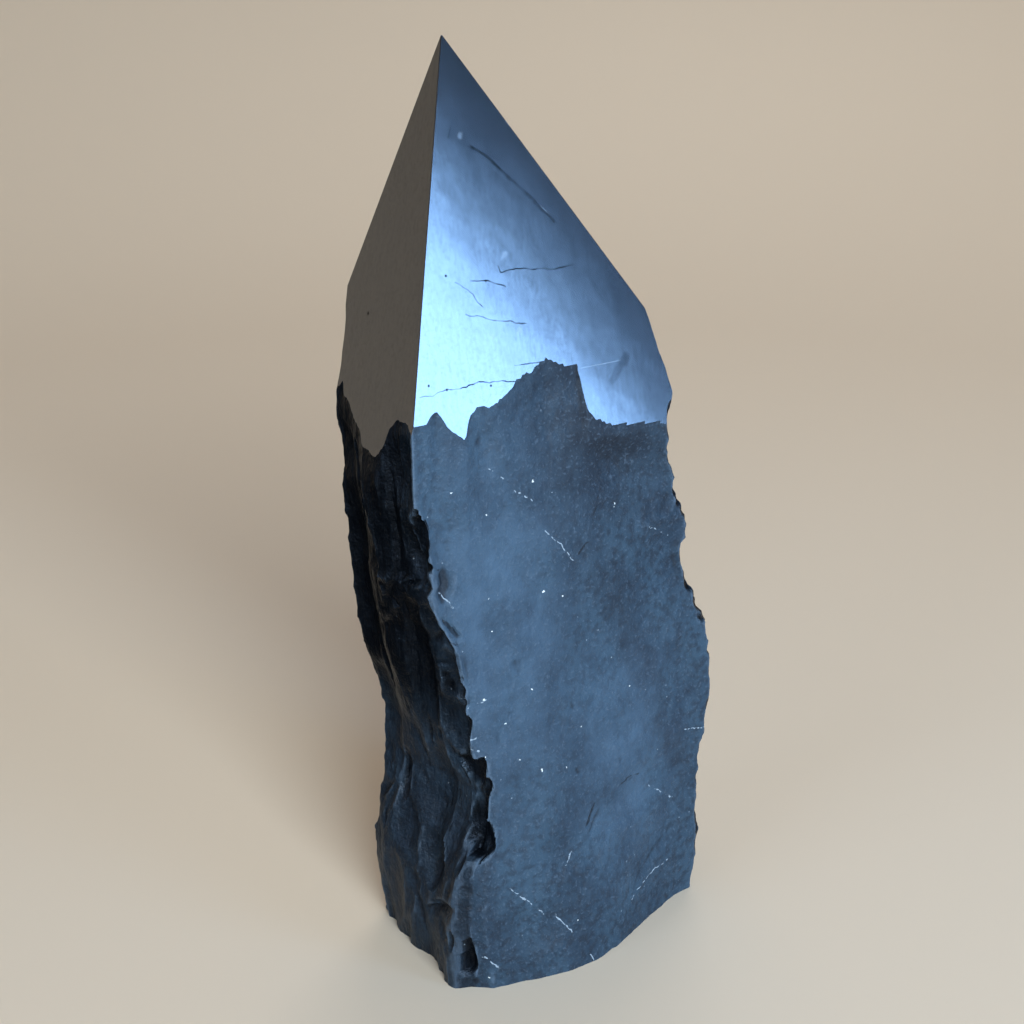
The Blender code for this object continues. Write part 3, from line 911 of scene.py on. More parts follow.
        around = add_node(tree, "GeometryNodeBlurAttribute", {"data_type": "FLOAT_VECTOR"}, {
            "Value": place, "Iterations": given["Crest Reach"]})
        away = add_node(tree, "ShaderNodeVectorMath", {"operation": "SUBTRACT"},
                        {0: place, 1: around.outputs[0]})
        proud = add_node(tree, "ShaderNodeVectorMath", {"operation": "DOT_PRODUCT"},
                         {0: away.outputs[0], 1: outward})
        proud_mm = add_node(tree, "ShaderNodeMath", {"operation": "DIVIDE"},
                            {0: proud.outputs["Value"], 1: MM})
        stored = add_node(tree, "GeometryNodeStoreNamedAttribute",
                          {"data_type": "FLOAT", "domain": "POINT"}, {
                              "Geometry": moved.outputs[0], "Name": Layer.CREST.value,
                              "Value": proud_mm.outputs[0]})
        real = add_node(tree, "GeometryNodeRealizeInstances", {}, {0: stored.outputs[0]})
        dressed = add_node(tree, "GeometryNodeSetMaterial", {}, {
            "Geometry": real.outputs[0], "Material": given["Stone"]})
        add_node(tree, "NodeGroupOutput", {}, {"Geometry": dressed.outputs[0]})
        return tree

    def roughen(self, smooth_mesh: bpy.types.Mesh, stone: bpy.types.Material) -> bpy.types.Mesh:
        """Run the tree on a mesh.

        Args:
            smooth_mesh: The mesh to roughen, which has the mask of broken surface.
            stone: Material of the broken surface.

        Returns:
            A new plain mesh.
        """
        carrier = bpy.data.objects.new("raw block", smooth_mesh)
        bpy.context.scene.collection.objects.link(carrier)
        modifier = carrier.modifiers.new("Hackle", "NODES")
        tree = self.tree()
        modifier.node_group = tree
        values: dict[str, Any] = dict(self.sizes(), Stone=stone)
        values["Crest Reach"] = self.crest_reach
        for item in tree.interface.items_tree:
            if item.in_out == "INPUT" and item.name in values:
                modifier[item.identifier] = values[item.name]
        evaluated = carrier.evaluated_get(bpy.context.evaluated_depsgraph_get())
        rough = bpy.data.meshes.new_from_object(evaluated)
        carrier.modifiers.remove(modifier)
        bpy.data.objects.remove(carrier)
        return rough


@dataclass(frozen=True)
class Plane:
    """A plane that the stone is cut back to: a point on it, and its outward normal."""

    point: Vector
    normal: Vector


@dataclass
class Grinding:
    """The lapidary's work: four facets, their eased ridges, a blunted tip and a sawn foot."""

    walls: list[Wall]
    ridge_width: float = 0.16
    tip_width: float = 0.3
    snap: float = 0.03
    crease: float = 28.0

    def facets(self) -> list[Plane]:
        """The four facet planes, which all pass through the apex.

        Returns:
            The planes, in the order of the walls.
        """
        apex = Vector((APEX_X - BOX_CENTRE[0], APEX_Y - BOX_CENTRE[1], HEIGHT)) * MM
        return [Plane(apex, Vector((*wall.outward, wall.facet_lean)).normalized())
                for wall in self.walls]

    def ridges(self, facets: list[Plane]) -> list[Plane]:
        """Narrow planes that take the sharp edge off each ridge, and one for the tip.

        Args:
            facets: The four facet planes.

        Returns:
            The five planes.
        """
        eased = []
        for first, second in zip(facets, facets[1:] + facets[:1]):
            between = (first.normal + second.normal).normalized()
            half_angle = first.normal.angle(second.normal) / 2
            depth = self.ridge_width / 2 * math.tan(half_angle) * MM
            eased.append(Plane(first.point - between * depth, between))
        tip = facets[0].point - Vector((0, 0, self.tip_width * MM))
        return eased + [Plane(tip, Vector((0, 0, 1)))]

    def cut(self, bm: bmesh.types.BMesh, plane: Plane, finish: Finish) -> None:
        """Take away all that lies beyond a plane, and close the cut with a flat face.

        Args:
            bm: The stone.
            plane: Where to cut.
            finish: Finish of the new face.
        """
        everything = bm.verts[:] + bm.edges[:] + bm.faces[:]
        made = bmesh.ops.bisect_plane(
            bm, geom=everything, dist=self.snap * MM, use_snap_center=True,
            plane_co=plane.point, plane_no=plane.normal, clear_outer=True)
        rim = [item for item in made["geom_cut"] if isinstance(item, bmesh.types.BMEdge)]
        open_rim = [edge for edge in rim if len(edge.link_faces) == 1]
        filled = bmesh.ops.triangle_fill(
            bm, edges=open_rim, use_beauty=True, normal=plane.normal)
        for item in filled["geom"]:
            if isinstance(item, bmesh.types.BMFace):
                item.material_index = finish.value
                item.smooth = False

    def work(self, rough: bpy.types.Mesh) -> None:
        """Grind and saw the rough mesh, in place, and mark its creases.

        Args:
            rough: The roughened block.
        """
        bm = bmesh.new()
        bm.from_mesh(rough)
        facets = self.facets()
        for plane in facets + self.ridges(facets):
            self.cut(bm, plane, Finish.POLISHED)
        self.cut(bm, Plane(Vector((0, 0, 0)), Vector((0, 0, -1))), Finish.BROKEN)
        bmesh.ops.dissolve_degenerate(bm, edges=bm.edges[:], dist=self.snap / 2 * MM)
        bmesh.ops.recalc_face_normals(bm, faces=bm.faces[:])
        steep = math.radians(self.crease)
        for edge in bm.edges:
            pair = edge.link_faces
            flat = len(pair) != 2 or pair[0].material_index != pair[1].material_index
            edge.smooth = not (flat or edge.calc_face_angle(0.0) > steep)
        open_edges = sum(1 for edge in bm.edges if len(edge.link_faces) != 2)
        if open_edges:
            LOG.warning("the stone has %d edges that don't join two faces", open_edges)
        bm.to_mesh(rough)
        bm.free()


class Join(Enum):
    """How patterns are put together, as an operation of the Math node."""

    PRODUCT = "MULTIPLY"
    LARGEST = "MAXIMUM"
    SUM = "ADD"


@dataclass(frozen=True)
class Pattern:
    """Something that varies over the stone, eased from one value to another.

    It is read from a layer of the mesh, or else from a noise. Size is that of the noise's
    largest features, in millimetres, stretch is how many times longer they are up the stone
    than across it, and detail is how many finer ones it has. While what is read goes from the
    first level to the second, the pattern goes from its first value to its second.
    """

    size: float = 1.0
    detail: float = 3.0
    levels: Pair | None = None
    values: Pair = (0.0, 1.0)
    stretch: float = 1.0
    twist: float = 0.0
    layer: Layer | None = None


@dataclass(frozen=True)
class Patch:
    """A soft patch of the stone: its middle, how far it reaches, and what breaks it up."""

    middle: Place
    reach: Place
    breaks: Pattern | None = None


@dataclass(frozen=True)
class Strokes:
    """Thin marks in the stone, each a run of points (x, z) as seen from the front.

    A run of one point is a dot. Places are in millimetres from a point on the foot that lies
    at minus BOX_CENTRE from the origin. Wander is how far the marks stray from their runs.
    """

    runs: list[list[Pair]]
    half_width: float
    wander: float = 0.0
    wander_size: float = 2.0
    strength: float = 1.0
    breaks: Pattern | None = None


def stroke_group() -> bpy.types.NodeTree:
    """The node group that measures how far a point is from one straight stroke.

    Returns:
        The group, which is made once. It gives the lesser of this distance and a given one.
    """
    name = "distance to stroke"
    if name in bpy.data.node_groups:
        return bpy.data.node_groups[name]
    tree = bpy.data.node_groups.new(name, "ShaderNodeTree")
    for socket in ("Point", "Start", "End"):
        tree.interface.new_socket(socket, in_out="INPUT", socket_type="NodeSocketVector")
    tree.interface.new_socket("Nearest", in_out="INPUT", socket_type="NodeSocketFloat")
    tree.interface.new_socket("Nearest", in_out="OUTPUT", socket_type="NodeSocketFloat")
    given = add_node(tree, "NodeGroupInput").outputs
    offset = add_node(tree, "ShaderNodeVectorMath", {"operation": "SUBTRACT"},
                      {0: given["Point"], 1: given["Start"]}).outputs[0]
    stroke = add_node(tree, "ShaderNodeVectorMath", {"operation": "SUBTRACT"},
                      {0: given["End"], 1: given["Start"]}).outputs[0]
    ahead = add_node(tree, "ShaderNodeVectorMath", {"operation": "DOT_PRODUCT"},
                     {0: offset, 1: stroke}).outputs["Value"]
    length = add_node(tree, "ShaderNodeVectorMath", {"operation": "DOT_PRODUCT"},
                      {0: stroke, 1: stroke}).outputs["Value"]
    share = add_node(tree, "ShaderNodeMath", {"operation": "DIVIDE", "use_clamp": True},
                     {0: ahead, 1: length}).outputs[0]
    nearest = add_node(tree, "ShaderNodeVectorMath", {"operation": "SCALE"},
                       {0: stroke, "Scale": share}).outputs[0]
    gap = add_node(tree, "ShaderNodeVectorMath", {"operation": "DISTANCE"},
                   {0: offset, 1: nearest}).outputs["Value"]
    least = add_node(tree, "ShaderNodeMath", {"operation": "MINIMUM"},
                     {0: gap, 1: given["Nearest"]}).outputs[0]
    add_node(tree, "NodeGroupOutput", {}, {0: least})
    return tree


class Stonework:
    """The node tree of one finish, with the patterns that both finishes are made from."""

    # A stroke is full to this share of its half width, and fades from there.
    CORE = 0.4

    def __init__(self, name: str, marks_before: float) -> None:
        """Start a material.

        Args:
            name: The material's name.
            marks_before: Depth (y) behind which no mark is drawn, in millimetres.
        """
        self.material = bpy.data.materials.new(name)
        self.material.use_nodes = True
        self.tree = self.material.node_tree
        place = add_node(self.tree, "ShaderNodeTexCoord").outputs["Object"]
        self.mm = add_node(self.tree, "ShaderNodeMapping", {"vector_type": "POINT"}, {
            "Vector": place, "Location": (*BOX_CENTRE, 0), "Scale": (1 / MM,) * 3}).outputs[0]
        self.front = add_node(self.tree, "ShaderNodeMapping", {"vector_type": "POINT"}, {
            "Vector": self.mm, "Scale": (1, 0, 1)}).outputs[0]
        y = add_node(self.tree, "ShaderNodeSeparateXYZ", {}, {0: self.mm}).outputs["Y"]
        self.on_front = add_node(self.tree, "ShaderNodeMath", {"operation": "LESS_THAN"},
                                 {0: y, 1: marks_before}).outputs[0]

    def join(self, how: Join, *values: Any) -> bpy.types.NodeSocket:
        """Put any number of patterns together.

        Args:
            how: What to make of them.
            values: The patterns, as sockets or plain numbers.

        Returns:
            Their product, the largest of them or their sum.
        """
        joined = values[0]
        for value in values[1:]:
            joined = add_node(self.tree, "ShaderNodeMath", {"operation": how.value},
                              {0: joined, 1: value}).outputs[0]
        return joined

    def noise(self, pattern: Pattern) -> bpy.types.Node:
        """The noise that a pattern is read from.

        Args:
            pattern: The pattern, of which the size, detail, stretch and twist count.

        Returns:
            The noise node.
        """
        across, up = 1 / pattern.size, 1 / pattern.size / pattern.stretch
        run = add_node(self.tree, "ShaderNodeMapping", {}, {
            "Vector": self.mm, "Scale": (across, across, up)}).outputs[0]
        return add_node(self.tree, "ShaderNodeTexNoise", {}, {
            "Vector": run, "Scale": 1.0, "Detail": pattern.detail, "Distortion": pattern.twist})

    def pattern(self, pattern: Pattern,
                value: bpy.types.NodeSocket | None = None) -> bpy.types.NodeSocket:
        """The value of a pattern at each point of the stone.

        Args:
            pattern: The pattern.
            value: What to read in place of a layer or a noise.

        Returns:
            The eased value.
        """
        if value is None and pattern.layer:
            value = add_node(self.tree, "ShaderNodeAttribute",
                             {"attribute_name": pattern.layer.value}).outputs["Fac"]
        elif value is None:
            value = self.noise(pattern).outputs[0]
        if pattern.levels is None:
            return value
        return add_node(self.tree, "ShaderNodeMapRange", {"interpolation_type": "SMOOTHSTEP"}, {
            "Value": value, "From Min": pattern.levels[0], "From Max": pattern.levels[1],
            "To Min": pattern.values[0], "To Max": pattern.values[1]}).outputs[0]

    def patch(self, patch: Patch) -> bpy.types.NodeSocket:
        """Where a soft patch is: 1 in its middle and 0 where it ends, less what breaks it up.

        Args:
            patch: The patch.

        Returns:
            How much of the patch shows.
        """
        run = add_node(self.tree, "ShaderNodeMapping", {"vector_type": "TEXTURE"}, {
            "Vector": self.mm, "Location": patch.middle, "Scale": patch.reach}).outputs[0]
        ball = add_node(self.tree, "ShaderNodeTexGradient", {"gradient_type": "SPHERICAL"},
                        {"Vector": run}).outputs[1]
        soft = self.pattern(Pattern(levels=(0.0, 1.0)), ball)
        return self.join(Join.PRODUCT, soft, self.pattern(patch.breaks)) if patch.breaks else soft

    def marks(self, *kinds: Strokes) -> bpy.types.NodeSocket:
        """Where any of the strokes are, on the front only.

        Args:
            kinds: One kind of strokes or more.

        Returns:
            The strength of the strongest, and 0 away from them all.
        """
        found = []
        for strokes in kinds:
            nearest: Any = FAR_AWAY
            point = self.stray(strokes)
            for run in strokes.runs:
                for start, end in zip(run, run[1:] or run):
                    node = add_node(self.tree, "ShaderNodeGroup", {"node_tree": stroke_group()}, {
                        "Point": point, "Start": (start[0], 0, start[1]),
                        "End": (end[0], 0, end[1]), "Nearest": nearest})
                    nearest = node.outputs[0]
            edge = Pattern(levels=(strokes.half_width, strokes.half_width * self.CORE))
            shown = [self.pattern(edge, nearest), self.on_front]
            if strokes.breaks:
                shown.append(self.pattern(strokes.breaks))
            if strokes.strength < 1:
                shown.append(strokes.strength)
            found.append(self.join(Join.PRODUCT, *shown))
        return self.join(Join.LARGEST, *found)

    def stray(self, strokes: Strokes) -> bpy.types.NodeSocket:
        """The point of the front at which to look for strokes, so that they wander.

        Args:
            strokes: The strokes.

        Returns:
            The point, in millimetres.
        """
        if not strokes.wander:
            return self.front
        wobble = self.noise(Pattern(strokes.wander_size, 2.0)).outputs[1]
        centred = add_node(self.tree, "ShaderNodeVectorMath", {"operation": "SUBTRACT"},
                           {0: wobble, 1: (0.5, 0.5, 0.5)}).outputs[0]
        return add_node(self.tree, "ShaderNodeVectorMath", {"operation": "MULTIPLY_ADD"}, {
            0: centred, 1: (strokes.wander, 0, strokes.wander), 2: self.front}).outputs[0]

    def coats(self, under: str, coats: list[tuple[Any, Any]]) -> bpy.types.NodeSocket:
        """Lay thin coats of colour one over another.

        Args:
            under: The colour below them all, in sRGB hex.
            coats: How much of each coat shows, and its colour as sRGB hex or a socket.

        Returns:
            The colour that is seen.
        """
        colour: Any = linear(under)
        for share, over in coats:
            colour = add_node(self.tree, "ShaderNodeMix", {"data_type": "RGBA"}, {
                "Factor": share, 6: colour,
                7: linear(over) if isinstance(over, str) else over}).outputs[2]
        return colour

    def relief(self, *bumps: tuple[bpy.types.NodeSocket, float]) -> bpy.types.NodeSocket:
        """Bend the shading normal.

        Args:
            bumps: The pattern and the depth in millimetres of each bump, the coarsest first.

        Returns:
            The bent normal.
        """
        under: dict[str, bpy.types.NodeSocket] = {}
        for height, depth in bumps:
            under["Normal"] = add_node(self.tree, "ShaderNodeBump", {}, {
                "Height": height, "Distance": depth * MM, "Strength": 1.0, **under}).outputs[0]
        return under["Normal"]

    def finish(self, index: float, looks: dict[str, bpy.types.NodeSocket]) -> bpy.types.Material:
        """Give the shader its index of refraction and its patterns.

        Args:
            index: The index of refraction.
            looks: The pattern of each of the shader's inputs, by the input's name.

        Returns:
            The finished material.
        """
        shader = self.tree.nodes["Principled BSDF"]
        shader.inputs["IOR"].default_value = index
        for name, socket in looks.items():
            self.tree.links.new(socket, shader.inputs[name])
        return self.material


@dataclass(frozen=True)
class BrokenShungite:
    """Shungite as it breaks: nearly all carbon, matt slate black, with pale quartz and pyrite.

    The carbon is a fine glassy grain, so that the broken face has a soft sheen rather than a gloss.
    Its paler old face is partly painted light, and the black of a fresh break is partly painted
    shade. Crests are paler, partly from wear and partly as a painted highlight, and hollows are
    darkened as painted shade. Thin veins of quartz cross it, and tiny crystals catch the light.
    """

    dark: str = "#121922"
    slate: str = "#1D2D3A"
    pale: str = "#2A3E4C"
    # The colour of the painted sheen, where the front catches most light.
    painted_sheen: str = "#3C5162"
    # Pale grains, and the crests: partly wear and partly a painted highlight.
    pale_wear_and_highlight: str = "#4A5A68"
    # Black of a fresh break, also used as painted shade on the hollows and on the shaded left side.
    fresh: str = "#0D1218"
    vein: str = "#93A0A8"
    glint: str = "#C8CDC8"
    # Low, because the face scatters more than it mirrors.
    index: float = 1.33
    marks_before: float = -8.2

    mottle: Pattern = Pattern(9.0, 5.0, (0.34, 0.68), stretch=1.6, twist=0.4)
    cloud: Pattern = Pattern(1.4, 6.0, (0.42, 0.66), (0.0, 0.55))
    # Grains of 0.2 mm or less, drawn coarser so that they show.
    salt: Pattern = Pattern(0.55, 2.0, (0.55, 0.73), (0.0, 0.36))
    # Painted light: the palest parts of the front, where it catches most light. Painted shade: its
    # darkest part, just below the polish.
    painted_sheen_patches: tuple[Patch, ...] = (
        Patch((-17.0, -12.0, 72.0), (26.0, 30.0, 62.0),
              Pattern(6.0, 5.0, (0.25, 0.75), (0.35, 1.0))),
        Patch((9.0, -12.0, 36.0), (20.0, 30.0, 36.0),
              Pattern(6.0, 5.0, (0.25, 0.75), (0.3, 0.9))),
    )
    shade: Patch = Patch((6.0, -10.0, 100.0), (27.0, 30.0, 32.0),
                         Pattern(5.0, 5.0, (0.25, 0.75), (0.55, 1.0)))
    # A slight step runs down the front. Beyond it the stone turns from the light, and that shade is
    # painted as a darker band.
    step: Strokes = Strokes(runs=[
        [(-9.8, 91.4), (-1.4, 80.0), (5.2, 69.9), (10.2, 60.8), (17.6, 44.2), (22.4, 30.8)],
    ], half_width=4.0, wander=1.5, wander_size=4.0,
        breaks=Pattern(4.0, 4.0, (0.3, 0.7), (0.15, 0.45)))

    # Levels of the crest are millimetres above the stone around it.
    # Painted shade: the hollows are darkened to the black of a fresh break.
    hollow: Pattern = Pattern(levels=(-0.02, -0.16), values=(0.0, 0.75), layer=Layer.CREST)
    # Crests are paler, partly from wear and partly as a painted highlight, and less so on a fresh
    # break.
    crest: Pattern = Pattern(levels=(0.05, 0.25), values=(0.0, 0.6), layer=Layer.CREST)
    crest_wear_and_highlight: Pattern = Pattern(levels=(0.0, 1.0), values=(0.15, 1.0), layer=Layer.OLD_FACE_AND_LIGHT)

    veins: Strokes = Strokes(runs=[
        [(-6.9, 82.8), (-3.9, 79.6), (-1.2, 76.2)], [(-12.2, 90.8), (-8.9, 88.3)],
        [(-19.1, 97.1), (-13.9, 92.8)], [(-4.8, 88.8), (-4.0, 88.6)],
        [(16.1, 78.0), (20.8, 75.0)], [(-27.5, 76.8), (-25.3, 73.7)],
        [(-30.5, 72.7), (-29.0, 72.5)], [(-24.7, 54.3), (-22.8, 55.6), (-20.2, 55.8)],
        [(-24.8, 48.0), (-21.9, 46.6)], [(-24.0, 49.2), (-21.7, 49.2)],
        [(15.3, 26.7), (18.5, 24.1), (22.5, 20.9)], [(19.4, 9.3), (14.6, 9.2), (7.9, 7.1)],
        [(-5.1, 22.2), (-6.8, 19.9)], [(-18.3, 19.4), (-15.2, 16.0), (-12.0, 12.2)],
        [(-10.6, 12.5), (-7.2, 7.4)], [(-3.9, 1.6), (-2.4, -1.1)],
        [(-23.8, 7.0), (-20.8, 3.7)], [(24.2, 35.5), (29.3, 34.3)],
    ], half_width=0.14, wander=1.0, wander_size=1.2, strength=0.8,
        breaks=Pattern(0.8, 2.0, (0.44, 0.58)))
    crystals: Strokes = Strokes(runs=[[place] for place in (
        (-24.6, 93.2), (8.3, 83.4), (-3.5, 70.2), (-17.9, 67.3), (-18.4, 73.5), (-17.9, 87.9),
        (-10.9, 55.0), (-16.7, 50.4), (-0.8, 44.8), (-4.8, 38.4), (-14.2, 42.8), (-20.9, 45.4),
        (-5.8, 9.3), (-23.0, 2.4), (11.2, 48.5))], half_width=0.17, wander=0.6, wander_size=0.5)
    large_crystals: Strokes = Strokes(runs=[[place] for place in (
        (-10.0, 39.6), (-7.3, 71.8), (-20.6, 56.0), (8.6, 84.0), (-8.5, 91.6))],
        half_width=0.27, wander=0.8, wander_size=0.5)
    cracks: Strokes = Strokes(runs=[
        [(-29.6, 81.6), (-27.4, 80.8), (-26.7, 78.2), (-27.1, 76.5)],
        [(-30.9, 73.9), (-29.1, 70.7), (-27.2, 68.9), (-25.2, 67.0)],
        [(-1.9, 25.4), (-0.2, 26.9), (0.9, 29.3)], [(7.5, 29.6), (9.8, 30.6), (12.9, 30.0)],
        [(3.6, 83.2), (5.0, 86.3), (5.6, 87.9)], [(-0.6, 77.0), (1.8, 78.6)],
    ], half_width=0.24, wander=1.4, strength=0.8, breaks=Pattern(1.3, 2.0, (0.38, 0.6)))
    # One fleck to a cell of this many millimetres, where it isn't left out. Its edge is a
    # share of the cell.
    fleck_spacing: float = 2.6
    fleck_edge: Pattern = Pattern(levels=(0.075, 0.03))
    flecks_left_out: float = 0.55
    fleck_strength: float = 0.7

    # Painted shade: how much of a black metal a fresh break is made.
    painted_shade_metal: Pattern = Pattern(levels=(0.0, 0.7), values=(0.75, 0.0))
    matt: Pattern = Pattern(levels=(0.0, 1.0), values=(0.42, 0.62), layer=Layer.OLD_FACE_AND_LIGHT)
    matt_change: Pattern = Pattern(5.0, 4.0, (0.3, 0.7), (-0.07, 0.07))
    streaks: Pattern = Pattern(0.8, 4.0, stretch=6.0)
    streak_fade: Pattern = Pattern(levels=(0.9, 0.1), layer=Layer.OLD_FACE_AND_LIGHT)
    streak_depth: float = 0.35
    pocks: Pattern = Pattern(1.8, 5.0, stretch=1.8)
    pock_depth: float = 0.34
    grain: Pattern = Pattern(0.55, 3.0)
    grain_depth: float = 0.16

    def old_face_and_lit_colour(self, work: Stonework) -> bpy.types.NodeSocket:
        """Colour of the old face, partly painted light, with its painted sheen and shade, without
        its crests, hollows and minerals.

        Args:
            work: The material.

        Returns:
            The colour.
        """
        # Painted shade: the dark patch below the polish and the band beyond the step.
        shade = work.join(Join.LARGEST, work.patch(self.shade), work.marks(self.step))
        return work.coats(self.slate, [
            (work.pattern(self.mottle), self.pale), (work.pattern(self.cloud), self.dark),
            # Painted sheen on the front's lit patches.
            *((work.patch(painted_sheen), self.painted_sheen) for painted_sheen in self.painted_sheen_patches),
            (shade, self.dark), (work.pattern(self.salt), self.pale_wear_and_highlight)])

    def flecks(self, work: Stonework) -> bpy.types.NodeSocket:
        """Tiny flecks all over the stone, each of its own strength.

        Args:
            work: The material.

        Returns:
            Where they are, and how strongly they show.
        """
        cells = add_node(work.tree, "ShaderNodeTexVoronoi", {"feature": "F1"}, {
            "Vector": work.mm, "Scale": 1 / self.fleck_spacing}).outputs
        chance = add_node(work.tree, "ShaderNodeSeparateXYZ", {}, {0: cells["Color"]}).outputs
        kept = add_node(work.tree, "ShaderNodeMath", {"operation": "GREATER_THAN"},
                        {0: chance[0], 1: self.flecks_left_out}).outputs[0]
        return work.join(Join.PRODUCT, work.pattern(self.fleck_edge, cells["Distance"]), kept,
                         chance[1], self.fleck_strength)

    def material(self) -> bpy.types.Material:
        """Build the material.

        Returns:
            The finished material.
        """
        work = Stonework("shungite, broken", self.marks_before)
        old = work.pattern(Pattern(layer=Layer.OLD_FACE_AND_LIGHT))
        # Crests paler: partly wear, partly a painted highlight.
        wear_and_highlight = work.join(Join.PRODUCT, work.pattern(self.crest), work.pattern(self.crest_wear_and_highlight))
        crystals = work.marks(self.crystals, self.large_crystals)
        colour = work.coats(self.fresh, [
            # Painted light and shade: the old face's paler slate over the black of a fresh break.
            (old, self.old_face_and_lit_colour(work)),
            # Painted shade in the hollows.
            (work.pattern(self.hollow), self.fresh),
            (wear_and_highlight, self.pale_wear_and_highlight),
            (work.marks(self.cracks), self.fresh),
            (work.join(Join.PRODUCT, work.marks(self.veins), old), self.vein),
            (work.join(Join.PRODUCT, crystals, old), self.glint),
            (self.flecks(work), self.vein)])
        streaks = work.join(Join.PRODUCT, work.pattern(self.streaks),
                            work.pattern(self.streak_fade))
        return work.finish(self.index, {
            "Base Color": colour,
            # Painted shade: a fresh break that is neither old face nor crest is made a black metal,
            # so that it gives back hardly any light and the shaded side stays black.
            "Metallic": work.pattern(self.painted_shade_metal, work.join(Join.SUM, old, wear_and_highlight)),
            "Roughness": work.join(Join.SUM, work.pattern(self.matt),
                                   work.pattern(self.matt_change)),
            "Normal": work.relief((streaks, self.streak_depth),
                                  (work.pattern(self.pocks), self.pock_depth),
                                  (work.pattern(self.grain), self.grain_depth))})


@dataclass(frozen=True)
class PolishedShungite:
    """Shungite ground flat on a lap and polished: black, and glossy like a dull mirror.

    The lap leaves a faint grain that runs down the facet and a slow waviness, so that what
    it mirrors is soft. Hairline cracks cross it, and a few softer grains stay dull.
    """

    body: str = "#0D1116"
    crack: str = "#05070A"
    fleck: str = "#8FA0AC"
    # High, as carbon's is, so that the polish mirrors like a dark glass.
    index: float = 2.4
    marks_before: float = 4.0

    gloss: Pattern = Pattern(18.0, 1.0, (0.3, 0.7), (0.173, 0.187), stretch=2.0)
    waves: Pattern = Pattern(9.0, 2.0)
    wave_depth: float = 0.05
    # Scratches of the lap are microns wide, and are drawn coarser so that they show.
    lap: Pattern = Pattern(0.5, 1.0, stretch=48.0)
    lap_depth: float = 0.0006
    lap_streaks: Pattern = Pattern(0.5, 1.0, (0.35, 0.7), (0.0, 0.07), stretch=48.0)
    grains: Pattern = Pattern(0.7, 2.0, (0.48, 0.68), (0.0, 0.08))

    cracks: Strokes = Strokes(runs=[
        [(-16.4, 148.3), (-17.4, 146.0)],
        [(-11.4, 126.5), (-11.2, 125.6), (-6.4, 125.5), (-0.8, 124.8), (3.1, 125.1)],
        [(-16.8, 125.1), (-14.1, 124.6), (-10.5, 123.4)],
        [(-18.6, 120.0), (-16.2, 119.4), (-13.4, 118.5), (-10.4, 117.8), (-7.4, 117.1)],
        [(-19.7, 125.1), (-17.4, 123.5), (-15.4, 120.8)],
        [(-28.8, 109.2), (-26.3, 109.1), (-23.9, 109.5), (-21.5, 109.4), (-17.9, 109.7),
         (-14.4, 109.3), (-10.8, 108.7)],
        [(-11.0, 111.1), (-5.1, 111.0)],
    ], half_width=0.115, wander=0.9, breaks=Pattern(2.6, 2.0, (0.30, 0.62), (0.25, 1.0)))
    # One old crack has healed, and is broader and fainter.
    healed: Strokes = Strokes(runs=[
        [(-13.4, 144.4), (-10.8, 142.8), (-7.2, 139.5), (-5.0, 137.4), (-2.3, 134.8), (0.4, 132.3)],
    ], half_width=0.34, wander=0.9, breaks=Pattern(1.4, 2.0, (0.3, 0.65), (0.2, 0.7)))
    left_pit: Patch = Patch((-27.3, 10.9, 118.4), (0.5, 0.5, 0.5))
    pits: Strokes = Strokes(runs=[[place] for place in (
        (-23.9, 109.5), (-14.1, 124.6), (-21.2, 126.2), (-27.0, 110.6), (-15.8, 108.8))],
        half_width=0.26)
    dull: Strokes = Strokes(runs=[[place] for place in (
        (-15.0, 146.0), (-10.1, 127.9), (-9.1, 116.4), (-14.4, 116.1))],
        half_width=0.8, wander=2.2, wander_size=1.4)
    dull_paleness: float = 0.16
    dull_roughness: float = 0.04
    scratches: Strokes = Strokes(runs=[
        [(2.1, 108.7), (10.5, 108.7)], [(-6.5, 147.8), (-5.8, 147.0)],
        [(-3.6, 144.6), (-3.0, 143.9)], [(-1.8, 134.6), (-0.4, 133.3)],
    ], half_width=0.13, strength=0.2)
    smears: Strokes = Strokes(
        runs=[[(11.6, 108.9), (8.4, 105.9)]], half_width=1.1, wander=1.2, strength=0.28)

    def material(self) -> bpy.types.Material:
        """Build the material.

        Returns:
            The finished material.
        """
        work = Stonework("shungite, ground and polished", self.marks_before)
        pores = work.join(Join.LARGEST, work.marks(self.cracks, self.pits),
                          work.patch(self.left_pit))
        dull = work.marks(self.dull)
        pale = work.join(Join.LARGEST, work.join(Join.PRODUCT, dull, self.dull_paleness),
                         work.marks(self.scratches))
        lost = work.join(Join.LARGEST, pores, work.marks(self.smears, self.healed))
        return work.finish(self.index, {
            "Base Color": work.coats(self.body, [(pores, self.crack), (pale, self.fleck)]),
            # An open crack gives back no light, as black metal doesn't.
            "Metallic": work.join(Join.SUM, lost, work.pattern(self.lap_streaks),
                                  work.pattern(self.grains)),
            "Roughness": work.join(Join.SUM, work.pattern(self.gloss),
                                   work.join(Join.PRODUCT, dull, self.dull_roughness)),
            "Normal": work.relief((work.pattern(self.waves), self.wave_depth),
                                  (work.pattern(self.lap), self.lap_depth))})


